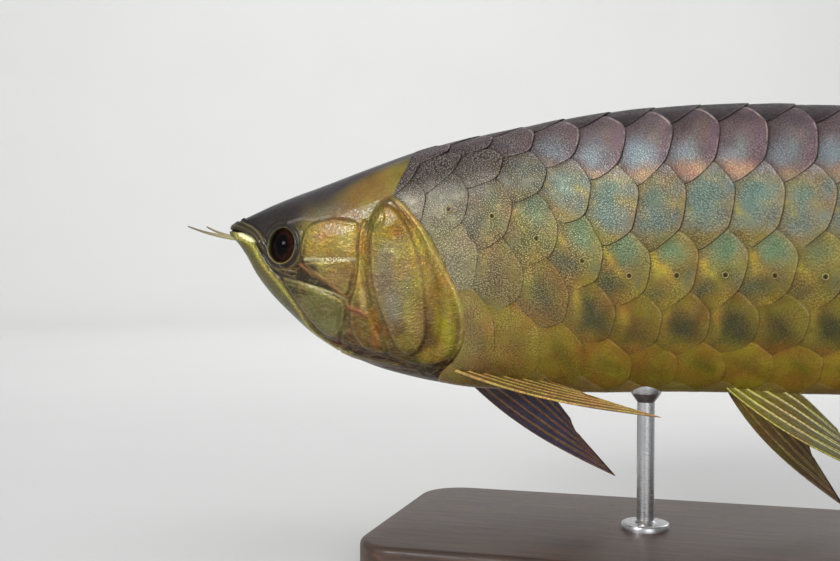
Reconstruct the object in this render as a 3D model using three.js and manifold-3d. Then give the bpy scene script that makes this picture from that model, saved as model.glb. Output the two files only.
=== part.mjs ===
// Asian arowana, a life-size still model on a plain display stand. Millimetres, +Z up.
// The head points to -X and the fish's left side faces -Y.
// Shapes are worked out in the fish's own frame first: s is the distance behind the snout,
// y is to the fish's right, and z is the height above the level stretch of the lateral line.
import * as THREE from "three";
import { mergeVertices } from "three/addons/utils/BufferGeometryUtils.js";
import Module from "manifold-3d";

const wasm = await Module();
wasm.setup();

// Driving dimensions
const STANDARD_LENGTH = 500; // snout to the root of the tail fin
const TAIL_FIN_LENGTH = 72;
const BODY_END = 503; // where the flesh tapers out inside the tail fin's root
const NODE_GAP = 0.3; // between two nodes that touch
const SKULL_REACH = 142; // the smooth head surface is made this far back, then cut
const PEDUNCLE_CUT = 490; // the tail ends here and the tail fin's root begins
const TRUNK_CUT = 312; // the trunk ends here, just ahead of the anal fin
const SCALE_STEP = 1.1; // height of a scale's free edge over the next scale, at full pitch
const SCALE_PITCH = 20.3; // length of one column of scales on the flank
const FIRST_COLUMN = 106; // s of scale column 0
const PITCH_TAPER_START = 290; // behind this the scales get shorter
const LAST_PITCH = 9.5;
const COLUMN_LEAN = 0.5; // columns slope forward as they go down, in pitches
const SCALE_ROWS = 6; // rows from the back's own row down to the keel's own row
const TAIL_SWEEP = 16; // sideways reach of the tail's gentle bend
const SWEEP_START = 280;
const STAND = {
  centre: 235, // s of the middle of the base
  baseLength: 300,
  baseWidth: 136,
  baseHeight: 16,
  cornerRadius: 22,
  bevel: 3,
  topBelowFish: 118, // depth of the base's top under the lateral line
  rodRadius: 4,
  rodStations: { front: 206, rear: 303 },
  rodReach: 12, // how far a rod is run into the belly before it is cut to the belly's shape
  flangeRadius: 11,
  flangeHeight: 3,
  saddleRadius: 7,
  saddleHeight: 5,
};
const FLOOR_DROP = STAND.topBelowFish + STAND.baseHeight;

// Body tables: value at each station s. The unseen rear follows the species.
const BACK = [[0, 18.6], [0.8, 20.4], [3, 22.4], [11, 26.3], [28, 33.1], [51, 40.7], [80, 50.6], [102, 57.4],
  [143, 65.4], [178, 70.9], [205, 73.4], [240, 74.4], [289, 72], [335, 66.5], [380, 56.5], [425, 42],
  [460, 28.5], [485, 22.5], [BODY_END, 21]];
const BELLY = [[0, 18], [0.8, 16.6], [3, 14.6], [7, 10.4], [11, 4.9], [17, -5], [23.4, -12.6], [35.8, -24],
  [48, -33.6], [70, -45], [88, -50.1], [108, -53.8], [130, -56], [166, -56.5], [230, -54.3], [289, -53.4],
  [318, -51.5], [360, -43.5], [410, -31], [455, -20], [485, -16.8], [BODY_END, -16]];
const HALF_WIDTH = [[0, 1.5], [0.8, 4], [3, 6.4], [7, 8.8], [12, 11], [20, 14.4], [28, 17.6], [38, 21],
  [50, 24], [70, 26.2], [95, 27.4], [125, 28], [170, 28], [230, 27], [290, 24.6], [350, 19.6], [400, 14.4],
  [450, 9], [485, 6], [BODY_END, 4.6]];
// Share of the depth from the back down to the widest line
const WIDEST = [[0, 0.5], [30, 0.52], [70, 0.5], [120, 0.45], [200, 0.42], [BODY_END, 0.46]];
const BACK_ROUNDNESS = [[0, 2.1], [40, 2.5], [120, 2.5], [300, 2.3], [BODY_END, 2.1]];
const BELLY_ROUNDNESS = [[0, 2.1], [40, 2.0], [90, 2.1], [130, 1.95], [300, 1.8], [BODY_END, 2]];
// Share of the depth from back to belly at which each row of scales runs, rows 0 to 6
const ROWS_AT_GILL = [0, 0.035, 0.1, 0.275, 0.5, 0.76, 1];
const ROWS_ON_FLANK = [0, 0.14, 0.35, 0.575, 0.765, 0.905, 1];
const ROWS_AT_TAIL = [0, 0.12, 0.31, 0.5, 0.69, 0.88, 1];
const ROWS_SETTLE = { from: 118, to: 208, tailFrom: 300, tailTo: 490 };

// Outlines on the side of the head, as (s, z)
const MOUTH_LINE = [[-4, 19.2], [3, 18.4], [8, 17.4], [13, 15], [18, 11.2], [23, 5], [27, -0.8], [31, -4.6],
  [37, -6.8], [47, -8.8], [57, -11.4], [66, -15.2]];
const JAW_REAR = [[66.6, -19], [65.6, -26], [63.5, -33], [58, -42], [52, -56]];
const NAPE_EDGE = [[99, 84], [99, 62], [97.5, 48], [93.5, 37]];
const GILL_REAR = [[92, 34], [97.5, 30.4], [104.5, 23.3], [111.6, 14], [117.8, 2.4], [123.2, -8.5],
  [126, -17.5], [126.4, -26.6], [123.6, -35.6], [118.5, -42.4]];
const THROAT_EDGE = [[112, -48], [105, -58], [100, -84]];
const GILL_FRONT = [[109, -44.6], [97, -43], [89.5, -39.5], [85.4, -27], [81.6, -13], [79.6, 0], [79.6, 12],
  [82, 23], [86.5, 30.5]];
const CHEEK_UPPER = [[47, 13], [50.5, 20.5], [60, 23.4], [75, 22], [75.4, 12], [74.4, 5.4], [60, 5],
  [47.6, 5]];
const CHEEK_LOWER = [[48, 3.8], [60, 3.8], [74, 4.2], [72.6, -6], [69.4, -13], [60, -6.6], [52, -2.6]];
const PREOPERCLE = [[80.4, 22.6], [77.9, 12], [77.8, 0], [79.8, -13], [83.6, -27], [87.4, -38], [77, -37.4],
  [71.4, -29], [71.6, -16.4], [74.6, -8], [76.2, 2], [76.6, 14], [77.6, 21]];
const OPERCLE = [[90, 29.5], [84.6, 22], [83, 11.8], [83.6, -2], [86, -13.7], [89.8, -25], [94, -36],
  [100, -38.6], [106.6, -32], [108.4, -22], [107.6, -4], [104, 11.8], [98.5, 23]];
const MANDIBLE_PLATE = [[35, -9.6], [46, -11.6], [56, -14.4], [63.6, -18], [62.4, -29], [57, -32.6],
  [49, -26.6], [42.4, -18.2]];
const PLATE_LIFT = 0.8;
const GILL_LIFT = 1.1; // the gill cover's edge stands this far above the flank
const LIP = { width: 4.2, lift: 0.9 };
const GILL_DEPTH = 12; // the covers reach in to this distance from the mid-plane

const EYE = {
  s: 35, z: 11.6, radius: 9.5, proud: 2.6, turnForward: 25, turnUp: 8, rimWidth: 1.5, rimLift: 1,
  sides: 14, rings: 8,
};
const NOSTRIL = { s: 9.5, radius: 1.5, bore: 0.8, height: 1.3, lift: 0.2, turn: 0.24 };
const THINNEST_FIN = 0.52; // no fin is thinner than this at its edge or between two rays
const BARBEL = { s: 5.2, y: 3.4, z: 15.6, length: 25, rootRadius: 1.25, tipRadius: 0.35, out: 7, rise: 5.5 };

const clamp01 = (t) => Math.min(1, Math.max(0, t));
const ease = (from, to, x) => {
  const t = clamp01((x - from) / (to - from));
  return t * t * (3 - 2 * t);
};
const mix = (a, b, t) => a + (b - a) * t;
const signedPower = (x, power) => Math.sign(x) * Math.abs(x) ** power;

// A smooth curve through a table's points that never overshoots them
function curveThrough(table) {
  const x = table.map((p) => p[0]);
  const y = table.map((p) => p[1]);
  const last = x.length - 1;
  const slope = x.slice(1).map((_, i) => (y[i + 1] - y[i]) / (x[i + 1] - x[i]));
  const tangent = x.map((_, i) => {
    if (i === 0 || i === last) return slope[i === 0 ? 0 : last - 1];
    const [a, b] = [slope[i - 1], slope[i]];
    return a * b <= 0 ? 0 : (2 * a * b) / (a + b);
  });
  return (at) => {
    const v = Math.min(x[last], Math.max(x[0], at));
    let i = 0;
    while (i < last - 1 && v > x[i + 1]) i++;
    const width = x[i + 1] - x[i];
    const t = (v - x[i]) / width;
    const [t2, t3] = [t * t, t * t * t];
    return (2 * t3 - 3 * t2 + 1) * y[i] + (t3 - 2 * t2 + t) * width * tangent[i] +
      (3 * t2 - 2 * t3) * y[i + 1] + (t3 - t2) * width * tangent[i + 1];
  };
}

const backAt = curveThrough(BACK);
const bellyAt = curveThrough(BELLY);
const halfWidthAt = curveThrough(HALF_WIDTH);
const widestAt = curveThrough(WIDEST);
const backRoundnessAt = curveThrough(BACK_ROUNDNESS);
const bellyRoundnessAt = curveThrough(BELLY_ROUNDNESS);

// One point of the smooth body. turn is 0 on the back, positive down the left side, pi at the keel.
function bodyPoint(s, turn) {
  const [top, bottom] = [backAt(s), bellyAt(s)];
  const middle = top - widestAt(s) * (top - bottom);
  const upper = Math.cos(turn) >= 0;
  const power = 2 / (upper ? backRoundnessAt(s) : bellyRoundnessAt(s));
  const reach = upper ? top - middle : middle - bottom;
  return new THREE.Vector3(
    s,
    -halfWidthAt(s) * signedPower(Math.sin(turn), power),
    middle + reach * signedPower(Math.cos(turn), power),
  );
}

function bodyNormal(s, turn) {
  const [ds, dt] = [0.6, 0.03];
  const along = bodyPoint(Math.min(BODY_END, s + ds), turn).sub(bodyPoint(Math.max(0, s - ds), turn));
  const around = bodyPoint(s, turn + dt).sub(bodyPoint(s, turn - dt));
  return around.cross(along).normalize();
}

const liftedPoint = (s, turn, lift) => bodyPoint(s, turn).addScaledVector(bodyNormal(s, turn), lift);

// The turn at which the body has a given height
function turnAtHeight(s, z) {
  const [top, bottom] = [backAt(s), bellyAt(s)];
  const middle = top - widestAt(s) * (top - bottom);
  const upper = z >= middle;
  const roundness = upper ? backRoundnessAt(s) : bellyRoundnessAt(s);
  const share = upper ? (z - middle) / (top - middle) : (z - middle) / (middle - bottom);
  return Math.acos(signedPower(Math.max(-1, Math.min(1, share)), roundness / 2));
}

const sideY = (s, z) => bodyPoint(s, turnAtHeight(s, z)).y; // of the left side

// A solid from vertices and triangles. Edges with no partner are closed by a fan to their middle.
class Surface {
  constructor() {
    this.points = [];
    this.faces = [];
    this.known = new Map();
  }

  vertex(point, key) {
    if (key !== undefined && this.known.has(key)) return this.known.get(key);
    this.points.push(point);
    if (key !== undefined) this.known.set(key, this.points.length - 1);
    return this.points.length - 1;
  }

  polygon(...corners) {
    for (let i = 1; i < corners.length - 1; i++) this.faces.push([corners[0], corners[i], corners[i + 1]]);
  }

  // The same surface with its faces turned the other way
  turned() {
    this.faces = this.faces.map(([a, b, c]) => [a, c, b]);
    return this;
  }

  closeEnds() {
    const next = new Map();
    const partner = new Set(this.faces.flatMap(([a, b, c]) => [`${b},${a}`, `${c},${b}`, `${a},${c}`]));
    for (const [a, b, c] of this.faces) {
      for (const [from, to] of [[a, b], [b, c], [c, a]]) {
        if (!partner.has(`${from},${to}`)) next.set(to, from);
      }
    }
    while (next.size) {
      const loop = [next.keys().next().value];
      while (next.has(loop.at(-1))) {
        const following = next.get(loop.at(-1));
        next.delete(loop.at(-1));
        if (following === loop[0]) break;
        loop.push(following);
      }
      const middle = new THREE.Vector3();
      loop.forEach((i) => middle.addScaledVector(this.points[i], 1 / loop.length));
      const hub = this.vertex(middle);
      loop.forEach((from, i) => this.faces.push([hub, from, loop[(i + 1) % loop.length]]));
    }
    return this;
  }

  solid() {
    const geometry = new THREE.BufferGeometry().setFromPoints(this.points);
    geometry.setIndex(this.faces.flat());
    return solidOf(geometry);
  }
}

function solidOf(geometry) {
  const bare = geometry.clone();
  bare.deleteAttribute("normal");
  bare.deleteAttribute("uv");
  const merged = mergeVertices(bare, 1e-4);
  return new wasm.Manifold(new wasm.Mesh({
    numProp: 3,
    vertProperties: new Float32Array(merged.attributes.position.array),
    triVerts: new Uint32Array(merged.index.array),
  }));
}

const largest = (solid) => solid.decompose().reduce((a, b) => (b.volume() > a.volume() ? b : a));

// A ring of points for each station, joined into a closed skin
function loft(rings) {
  const skin = new Surface();
  const index = rings.map((ring) => ring.map((point) => skin.vertex(point)));
  const around = rings[0].length;
  for (let i = 0; i < rings.length - 1; i++) {
    for (let j = 0; j < around; j++) {
      const k = (j + 1) % around;
      skin.polygon(index[i][j], index[i][k], index[i + 1][k], index[i + 1][j]);
    }
  }
  return skin.closeEnds().solid();
}

// A spline or straight outline in (s, z), pushed through the fish from y = from to y = to
function prism(outline, from, to, grow = 0) {
  const points = outline.map(([s, z]) => new THREE.Vector2(s, z));
  const turning = THREE.ShapeUtils.area(points) < 0 ? -1 : 1;
  const grown = points.map((p, i) => {
    const before = points.at(i - 1);
    const after = points[(i + 1) % points.length];
    const along = after.clone().sub(before).normalize();
    return new THREE.Vector2(p.x + grow * turning * along.y, p.y - grow * turning * along.x);
  });
  const shape = new THREE.Shape(grown);
  const geometry = new THREE.ExtrudeGeometry(shape, { depth: to - from, bevelEnabled: false });
  geometry.rotateX(Math.PI / 2);
  geometry.translate(0, to, 0);
  return solidOf(geometry);
}

const smooth = (points, steps) =>
  new THREE.SplineCurve(points.map((p) => new THREE.Vector2(...p))).getPoints(steps).map((p) => [p.x, p.y]);

// The plate lies on one side: -1 is the left, +1 the right
const sidePrism = (outline, side, inner, grow = 0) =>
  side < 0 ? prism(outline, -60, -inner, grow) : prism(outline, inner, 60, grow);

// Head surface
const HEAD_STATIONS = [0.8, 3, 6, 9.5, 13.5, 18, 23, 28.5, 34.5, 41, 48, 56, 65, 75, 86, 98, 111, 125,
  SKULL_REACH];
const HEAD_RING = 28;

function headSkin(lift) {
  return loft(HEAD_STATIONS.map((s) =>
    Array.from({ length: HEAD_RING }, (_, j) => liftedPoint(s, (2 * Math.PI * j) / HEAD_RING, lift))));
}

const GILL_OUTLINE = [...smooth(GILL_REAR, 12), ...smooth(GILL_FRONT, 10)];
const HEAD_REGION = [[-40, 84], ...NAPE_EDGE, ...smooth(GILL_REAR, 12), ...THROAT_EDGE, [-40, -84]];
const JAW_REGION = [[-40, 19.2], ...smooth(MOUTH_LINE, 14), ...JAW_REAR, [-40, -56]];

// A lip follows the mouth line, wider by a shift up and back or down and forward
function lipOutline(line, back, up, steps) {
  const edge = line.map(([s, z]) => [s + LIP.width * back, z + LIP.width * up]);
  return [...smooth(line, steps), ...smooth(edge, steps).reverse()];
}

// The part of a solid that lies behind the head's rear edge
const behindHead = (solid) => solid.subtract(prism(HEAD_REGION, -80, 80, NODE_GAP));

// The eye's place: its axis leans forward and up, square to the skin there
function eyeFrame(side) {
  const [forward, up] = [THREE.MathUtils.degToRad(EYE.turnForward), THREE.MathUtils.degToRad(EYE.turnUp)];
  const axis = new THREE.Vector3(-Math.sin(forward) * Math.cos(up), side * Math.cos(forward) * Math.cos(up),
    Math.sin(up));
  const onSkin = new THREE.Vector3(EYE.s, side * Math.abs(sideY(EYE.s, EYE.z)), EYE.z);
  return { axis, centre: onSkin.addScaledVector(axis, EYE.proud - EYE.radius) };
}

function placedAlong(geometry, axis, centre) {
  geometry.applyQuaternion(new THREE.Quaternion().setFromUnitVectors(new THREE.Vector3(0, 1, 0), axis));
  geometry.translate(...centre);
  return geometry;
}

const ball = (radius, centre, axis) =>
  solidOf(placedAlong(new THREE.SphereGeometry(radius, EYE.sides, EYE.rings), axis, centre));

// A bony ring that frames the eye
function eyeRim(side) {
  const { axis, centre } = eyeFrame(side);
  const inner = EYE.radius - 1.2;
  const outer = inner + EYE.rimWidth + 1.6;
  const top = EYE.radius - EYE.proud + EYE.rimLift;
  const profile = [[inner, 0], [outer, 0], [outer, top - 0.9], [outer - 1.1, top], [inner, top - 0.2],
    [inner, 0]];
  const ring = new THREE.LatheGeometry(profile.map((p) => new THREE.Vector2(...p)), EYE.sides);
  return solidOf(placedAlong(ring, axis, centre));
}

function nostrilTube(side) {
  const turn = -side * NOSTRIL.turn * Math.PI;
  const normal = bodyNormal(NOSTRIL.s, turn);
  const root = liftedPoint(NOSTRIL.s, turn, -1.5);
  const height = 1.5 + NOSTRIL.height;
  const tube = (radius, top) => solidOf(placedAlong(
    new THREE.CylinderGeometry(radius * 0.8, radius, top, 7).translate(0, top / 2, 0), normal, root));
  return { tube: tube(NOSTRIL.radius, height), bore: tube(NOSTRIL.bore, height + 1) };
}

function raisedPlates(outlines, lift, inner) {
  const skin = headSkin(lift);
  return outlines.flatMap((outline) =>
    [-1, 1].map((side) => skin.intersect(sidePrism(outline, side, inner))));
}

function makeHead() {
  const outlines = [CHEEK_UPPER, CHEEK_LOWER, PREOPERCLE];
  const smoothPlates = outlines.map((o) => smooth([...o, o[0]], 14).slice(0, -1));
  const upperLip = lipOutline(MOUTH_LINE.slice(2), 0.62, 0.8, 8);
  let head = headSkin(0);
  for (const plate of raisedPlates(smoothPlates, PLATE_LIFT, 10)) head = head.add(plate);
  for (const lip of raisedPlates([upperLip], LIP.lift, 3)) head = head.add(lip);
  for (const side of [-1, 1]) {
    const { axis, centre } = eyeFrame(side);
    const nostril = nostrilTube(side);
    head = head.add(eyeRim(side)).add(nostril.tube).subtract(nostril.bore);
    head = head.subtract(ball(EYE.radius + NODE_GAP, centre, axis));
  }
  head = head.intersect(prism(HEAD_REGION, -80, 80)).subtract(prism(JAW_REGION, -80, 80, NODE_GAP));
  for (const side of [-1, 1]) {
    head = head.subtract(sidePrism(GILL_OUTLINE, side, GILL_DEPTH - NODE_GAP, NODE_GAP));
  }
  return largest(head);
}

function makeLowerJaw() {
  const plate = smooth([...MANDIBLE_PLATE, MANDIBLE_PLATE[0]], 14).slice(0, -1);
  const lowerLip = lipOutline(MOUTH_LINE.slice(1, -2), -0.5, -0.6, 7);
  let jaw = headSkin(0);
  for (const piece of [...raisedPlates([plate], PLATE_LIFT, 8), ...raisedPlates([lowerLip], LIP.lift, 2)]) {
    jaw = jaw.add(piece);
  }
  return largest(jaw.intersect(prism(JAW_REGION, -80, 80)));
}

// The gill cover carries the opercle as a raised plate, and its rear edge is the soft membrane
function makeGillCover(side) {
  const plate = smooth([...OPERCLE, OPERCLE[0]], 16).slice(0, -1);
  const cover = headSkin(GILL_LIFT).intersect(sidePrism(GILL_OUTLINE, side, GILL_DEPTH));
  const raised = headSkin(GILL_LIFT + PLATE_LIFT).intersect(sidePrism(plate, side, GILL_DEPTH + 1));
  return largest(cover.add(raised));
}

// Scales. Column c and row r of the shingled body, where r is 0 on the back and 6 at the keel.
const rowTables = [ROWS_AT_GILL, ROWS_ON_FLANK, ROWS_AT_TAIL];

function rowTurn(s, row) {
  const settled = ease(ROWS_SETTLE.from, ROWS_SETTLE.to, s);
  const tail = ease(ROWS_SETTLE.tailFrom, ROWS_SETTLE.tailTo, s);
  const turns = rowTables[0].map((_, i) => {
    const share = mix(mix(rowTables[0][i], rowTables[1][i], settled), rowTables[2][i], tail);
    return [i, turnAtHeight(s, mix(backAt(s), bellyAt(s), share))];
  });
  return Math.sign(row) * curveThrough(turns)(Math.abs(row));
}

const taperRate = (SCALE_PITCH - LAST_PITCH) / (STANDARD_LENGTH - PITCH_TAPER_START);
const taperColumn = (PITCH_TAPER_START - FIRST_COLUMN) / SCALE_PITCH;

function columnStation(u) {
  if (u <= taperColumn) return FIRST_COLUMN + SCALE_PITCH * u;
  return PITCH_TAPER_START + (SCALE_PITCH / taperRate) * (1 - Math.exp(-taperRate * (u - taperColumn)));
}

const pitchAt = (s) => SCALE_PITCH - taperRate * Math.max(0, s - PITCH_TAPER_START);

function scalePoint(u, row, share, extra) {
  const lean = COLUMN_LEAN * Math.cos((Math.PI * row) / SCALE_ROWS);
  const s = Math.min(BODY_END - 1, columnStation(u + lean));
  const lift = (share * SCALE_STEP * pitchAt(s)) / SCALE_PITCH + extra;
  return liftedPoint(s, rowTurn(s, row), lift);
}

const FIRST = -2;
const LAST = 23;
const EDGE_BULGE = 0.1;
const LEVEL = { high: 0.5, tip: 0, low: -0.5, crown: 0.22 };

// Each scale is a hexagon whose rear edges stand above the scales behind it
function shingledBody(extra) {
  const skin = new Surface();
  const rows = 2 * SCALE_ROWS;
  const wrap = (row) => (row > SCALE_ROWS ? row - rows : row <= -SCALE_ROWS ? row + rows : row);
  const at = (u, row, level) => {
    const inside = wrap(row);
    const point = scalePoint(u, inside, LEVEL[level], extra);
    return skin.vertex(point, `${u.toFixed(2)} ${inside.toFixed(3)} ${level}`);
  };
  for (let row = 1 - SCALE_ROWS; row <= SCALE_ROWS; row++) {
    for (let column = FIRST; column <= LAST; column++) {
      const u = column + (row % 2 ? 0.5 : 0);
      const [front, rear, third] = [u - 0.5, u + 0.5, 1 / 3];
      const corner = {
        top: at(u, row - 2 * third, "tip"),
        bottom: at(u, row + 2 * third, "tip"),
        frontTop: at(front, row - third, "low"),
        frontMiddle: at(front + EDGE_BULGE, row, "low"),
        frontBottom: at(front, row + third, "low"),
        rearTop: at(rear, row - third, "high"),
        rearMiddle: at(rear + EDGE_BULGE, row, "high"),
        rearBottom: at(rear, row + third, "high"),
      };
      if (Math.abs(row) % SCALE_ROWS === 0) {
        // These scales wrap over the back or the keel, so they get a ridge point
        const crown = at(u, row, "crown");
        const rim = [corner.top, corner.frontTop, corner.frontMiddle, corner.frontBottom, corner.bottom,
          corner.rearBottom, corner.rearMiddle, corner.rearTop];
        rim.forEach((from, i) => skin.polygon(crown, from, rim[(i + 1) % rim.length]));
      } else {
        skin.polygon(corner.top, corner.frontTop, corner.rearTop);
        skin.polygon(corner.frontTop, corner.frontMiddle, corner.rearMiddle, corner.rearTop);
        skin.polygon(corner.frontMiddle, corner.frontBottom, corner.rearBottom, corner.rearMiddle);
        skin.polygon(corner.frontBottom, corner.bottom, corner.rearBottom);
      }
      skin.polygon(
        corner.rearMiddle, corner.rearBottom, at(rear, row + third, "tip"), at(rear, row + third, "low"),
        at(rear + EDGE_BULGE, row, "low"), at(rear, row - third, "low"), at(rear, row - third, "tip"),
        corner.rearTop,
      );
      skin.polygon(corner.rearTop, at(rear, row - third, "tip"), at(u, row - 2 * third, "low"), corner.top);
      skin.polygon(
        corner.bottom, at(u, row + 2 * third, "low"), at(rear, row + third, "tip"), corner.rearBottom,
      );
    }
  }
  return skin.closeEnds().solid();
}

const slab = (from, to) => prism([[from, -200], [to, -200], [to, 200], [from, 200]], -200, 200);
const scaledBody = shingledBody(0);
const liftedBody = shingledBody(NODE_GAP);
// Moved a little both ways too, so the steps between scales are cleared as well
const clearOfBody = liftedBody.add(liftedBody.translate(-NODE_GAP, 0, 0))
  .add(liftedBody.translate(NODE_GAP, 0, 0));

const makeTrunk = () => largest(behindHead(scaledBody).intersect(slab(60, TRUNK_CUT)));
const makeTail = () => largest(scaledBody.intersect(slab(TRUNK_CUT + NODE_GAP, PEDUNCLE_CUT)));

// Fins. rayAt(t) gives the root, the tip and the sideways droop of the ray at t from 0 to 1, and a fin
// is one closed sheet whose two faces have the same triangles, thicker along each ray.
function finSolid({ rays, steps, rootThickness, edgeThickness, membrane, rayAt, across }) {
  const sheet = new Surface();
  const columns = 2 * rays - 1;
  const grid = [1, -1].map((face) =>
    Array.from({ length: columns }, (_, i) => {
      const t = i / (columns - 1);
      const thin = i % 2 ? membrane : 1;
      return Array.from({ length: steps + 1 }, (_, j) => {
        const along = j / steps;
        const thickness = mix(rootThickness, edgeThickness, along ** 0.8) * mix(thin, 1, along ** 3);
        const half = Math.max(THINNEST_FIN, thickness) / 2;
        return sheet.vertex(rayAt(t, along).addScaledVector(across(t, along), face * half));
      });
    }));
  const [near, far] = grid;
  for (let i = 0; i < columns - 1; i++) {
    for (let j = 0; j < steps; j++) {
      const [a, b, c, d] = [near[i][j], near[i + 1][j], near[i + 1][j + 1], near[i][j + 1]];
      const [e, f, g, h] = [far[i][j], far[i + 1][j], far[i + 1][j + 1], far[i][j + 1]];
      sheet.faces.push([a, b, c], [a, c, d], [e, g, f], [e, h, g]);
    }
  }
  const rimOf = (face) => [
    ...face.map((ray) => ray[0]),
    ...face.at(-1).slice(1),
    ...face.map((ray) => ray[steps]).reverse().slice(1),
    ...face[0].slice(1, -1).reverse(),
  ];
  const [rim, under] = [rimOf(near), rimOf(far)];
  rim.forEach((a, i) => {
    const k = (i + 1) % rim.length;
    sheet.polygon(a, under[i], under[k], rim[k]);
  });
  const made = sheet.solid();
  return made.volume() < 0 ? sheet.turned().solid() : made;
}

// A fin in the mid-plane along the back or the belly
function medianFin({ from, to, rays, steps, length, lean, sunk, edge, up }) {
  const lengthAt = curveThrough(length);
  const leanAt = curveThrough(lean);
  const rayAt = (t, along) => {
    const s = mix(from, to, t);
    const root = new THREE.Vector3(s, 0, edge(s) - up * sunk);
    const angle = THREE.MathUtils.degToRad(leanAt(t) - 9 * along * along); // rays curve back a little
    const reach = (lengthAt(t) + sunk) * along;
    return root.add(new THREE.Vector3(Math.cos(angle) * reach, 0, up * Math.sin(angle) * reach));
  };
  const sheet = finSolid({
    rays, steps, rootThickness: 2.6, edgeThickness: 0.8, membrane: 0.5, rayAt,
    across: () => new THREE.Vector3(0, 1, 0),
  });
  return largest(sheet.subtract(clearOfBody));
}

const makeDorsalFin = () => medianFin({
  from: 362, to: 450, rays: 18, steps: 3, sunk: 5, edge: backAt, up: 1,
  length: [[0, 20], [0.08, 33], [0.3, 49], [0.6, 58], [0.85, 54], [1, 41]],
  lean: [[0, 58], [0.5, 38], [1, 15]],
});

const makeAnalFin = () => medianFin({
  from: 319, to: 456, rays: 26, steps: 3, sunk: 5, edge: bellyAt, up: -1,
  length: [[0, 18], [0.06, 31], [0.2, 44], [0.6, 54], [0.85, 51], [1, 38]],
  lean: [[0, 64], [0.5, 46], [1, 19]],
});

// The tail fin: a fleshy wedge that carries on from the tail, and a rounded fan of rays
const TAIL_FIN = { rays: 17, spread: 46, innerSpread: 15.5, middle: 2.8 };

function makeTailFin() {
  const start = PEDUNCLE_CUT + NODE_GAP;
  const narrowing = [[0, 1, 1], [7, 0.72, 1.01], [15, 0.36, 1.03], [21, 0.15, 0.99]];
  const wedge = loft(narrowing.map(([behind, thin, tall]) => Array.from({ length: 20 }, (_, j) => {
    const { y, z } = bodyPoint(start, (2 * Math.PI * j) / 20);
    return new THREE.Vector3(start + behind, y * thin, TAIL_FIN.middle + (z - TAIL_FIN.middle) * tall);
  })));
  const rayAt = (t, along) => {
    const side = 2 * t - 1; // -1 at the lowest ray, +1 at the highest
    const angle = THREE.MathUtils.degToRad(TAIL_FIN.spread * side * (0.45 + 0.55 * (1 - along)));
    const length = TAIL_FIN_LENGTH * (1 - 0.3 * side ** 4) + 4;
    const height = TAIL_FIN.middle + TAIL_FIN.innerSpread * side;
    const root = new THREE.Vector3(start + 5 - 2 * side * side, 0, height);
    return root.add(new THREE.Vector3(Math.cos(angle) * length * along, 0, Math.sin(angle) * length * along));
  };
  const fan = finSolid({
    rays: TAIL_FIN.rays, steps: 4, rootThickness: 2.4, edgeThickness: 0.8, membrane: 0.55, rayAt,
    across: () => new THREE.Vector3(0, 1, 0),
  });
  return largest(wedge.add(fan));
}

// A paired fin: its leading ray bows forward from root to tip, and the other rays fan out behind it
function pairedFin({ root, tip, trail, rays, steps, chord, rootChord, bow, droop, shorten, thickness }) {
  const start = new THREE.Vector3(...root);
  const lead = new THREE.Vector3(...tip).sub(start);
  const length = lead.length();
  const forward = lead.clone().normalize();
  const behind = new THREE.Vector3(...trail);
  behind.addScaledVector(forward, -behind.dot(forward)).normalize();
  const across = forward.clone().cross(behind).normalize();
  const rayAt = (t, along) => {
    const reach = length * (1 - shorten * t ** 0.8) * along;
    const spread = mix(rootChord, chord, Math.sin(Math.PI * Math.min(1, along * 1.05) ** 0.75) ** 1.1);
    const taper = along > 0.85 ? 1 - (along - 0.85) * 2.2 : 1;
    return start.clone()
      .addScaledVector(forward, reach)
      .addScaledVector(behind, spread * t * taper - bow * Math.sin(Math.PI * along ** 0.8))
      .addScaledVector(across, droop * Math.sin(Math.PI * along) * (1 - 0.4 * t));
  };
  return finSolid({
    rays, steps, rootThickness: thickness, edgeThickness: 0.7, membrane: 0.5, rayAt, across: () => across,
  });
}

const clearOfHead = headSkin(GILL_LIFT + PLATE_LIFT + NODE_GAP)
  .intersect(prism(HEAD_REGION, -80, 80, NODE_GAP));
const rooted = (fin) => largest(fin.subtract(clearOfBody).subtract(clearOfHead));

// The left pectoral is spread level and the right one is lowered, as the fish steadies itself
const makeLeftPectoral = () => rooted(pairedFin({
  root: [112, -9, -45], tip: [220, -62, -58], trail: [0.25, 1, 0.05], rays: 7, steps: 7,
  chord: 28, rootChord: 12, bow: 3, droop: -3, shorten: 0.34, thickness: 3.2,
}));
const makeRightPectoral = () => rooted(pairedFin({
  root: [113, 8, -46], tip: [187, 50, -105], trail: [0.8, -0.25, 0.55], rays: 7, steps: 7,
  chord: 28, rootChord: 12, bow: 5, droop: 3, shorten: 0.3, thickness: 3.2,
}));
const makeLeftPelvic = () => rooted(pairedFin({
  root: [240, -4.5, -50], tip: [315, -34, -88], trail: [0.7, 0.6, 0.5], rays: 6, steps: 6,
  chord: 22, rootChord: 9, bow: 4, droop: -2, shorten: 0.34, thickness: 2.8,
}));
const makeRightPelvic = () => rooted(pairedFin({
  root: [240, 4.5, -50], tip: [294, 22, -108], trail: [0.85, -0.3, 0.5], rays: 6, steps: 6,
  chord: 20, rootChord: 9, bow: 5, droop: 2, shorten: 0.34, thickness: 2.8,
}));

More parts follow.
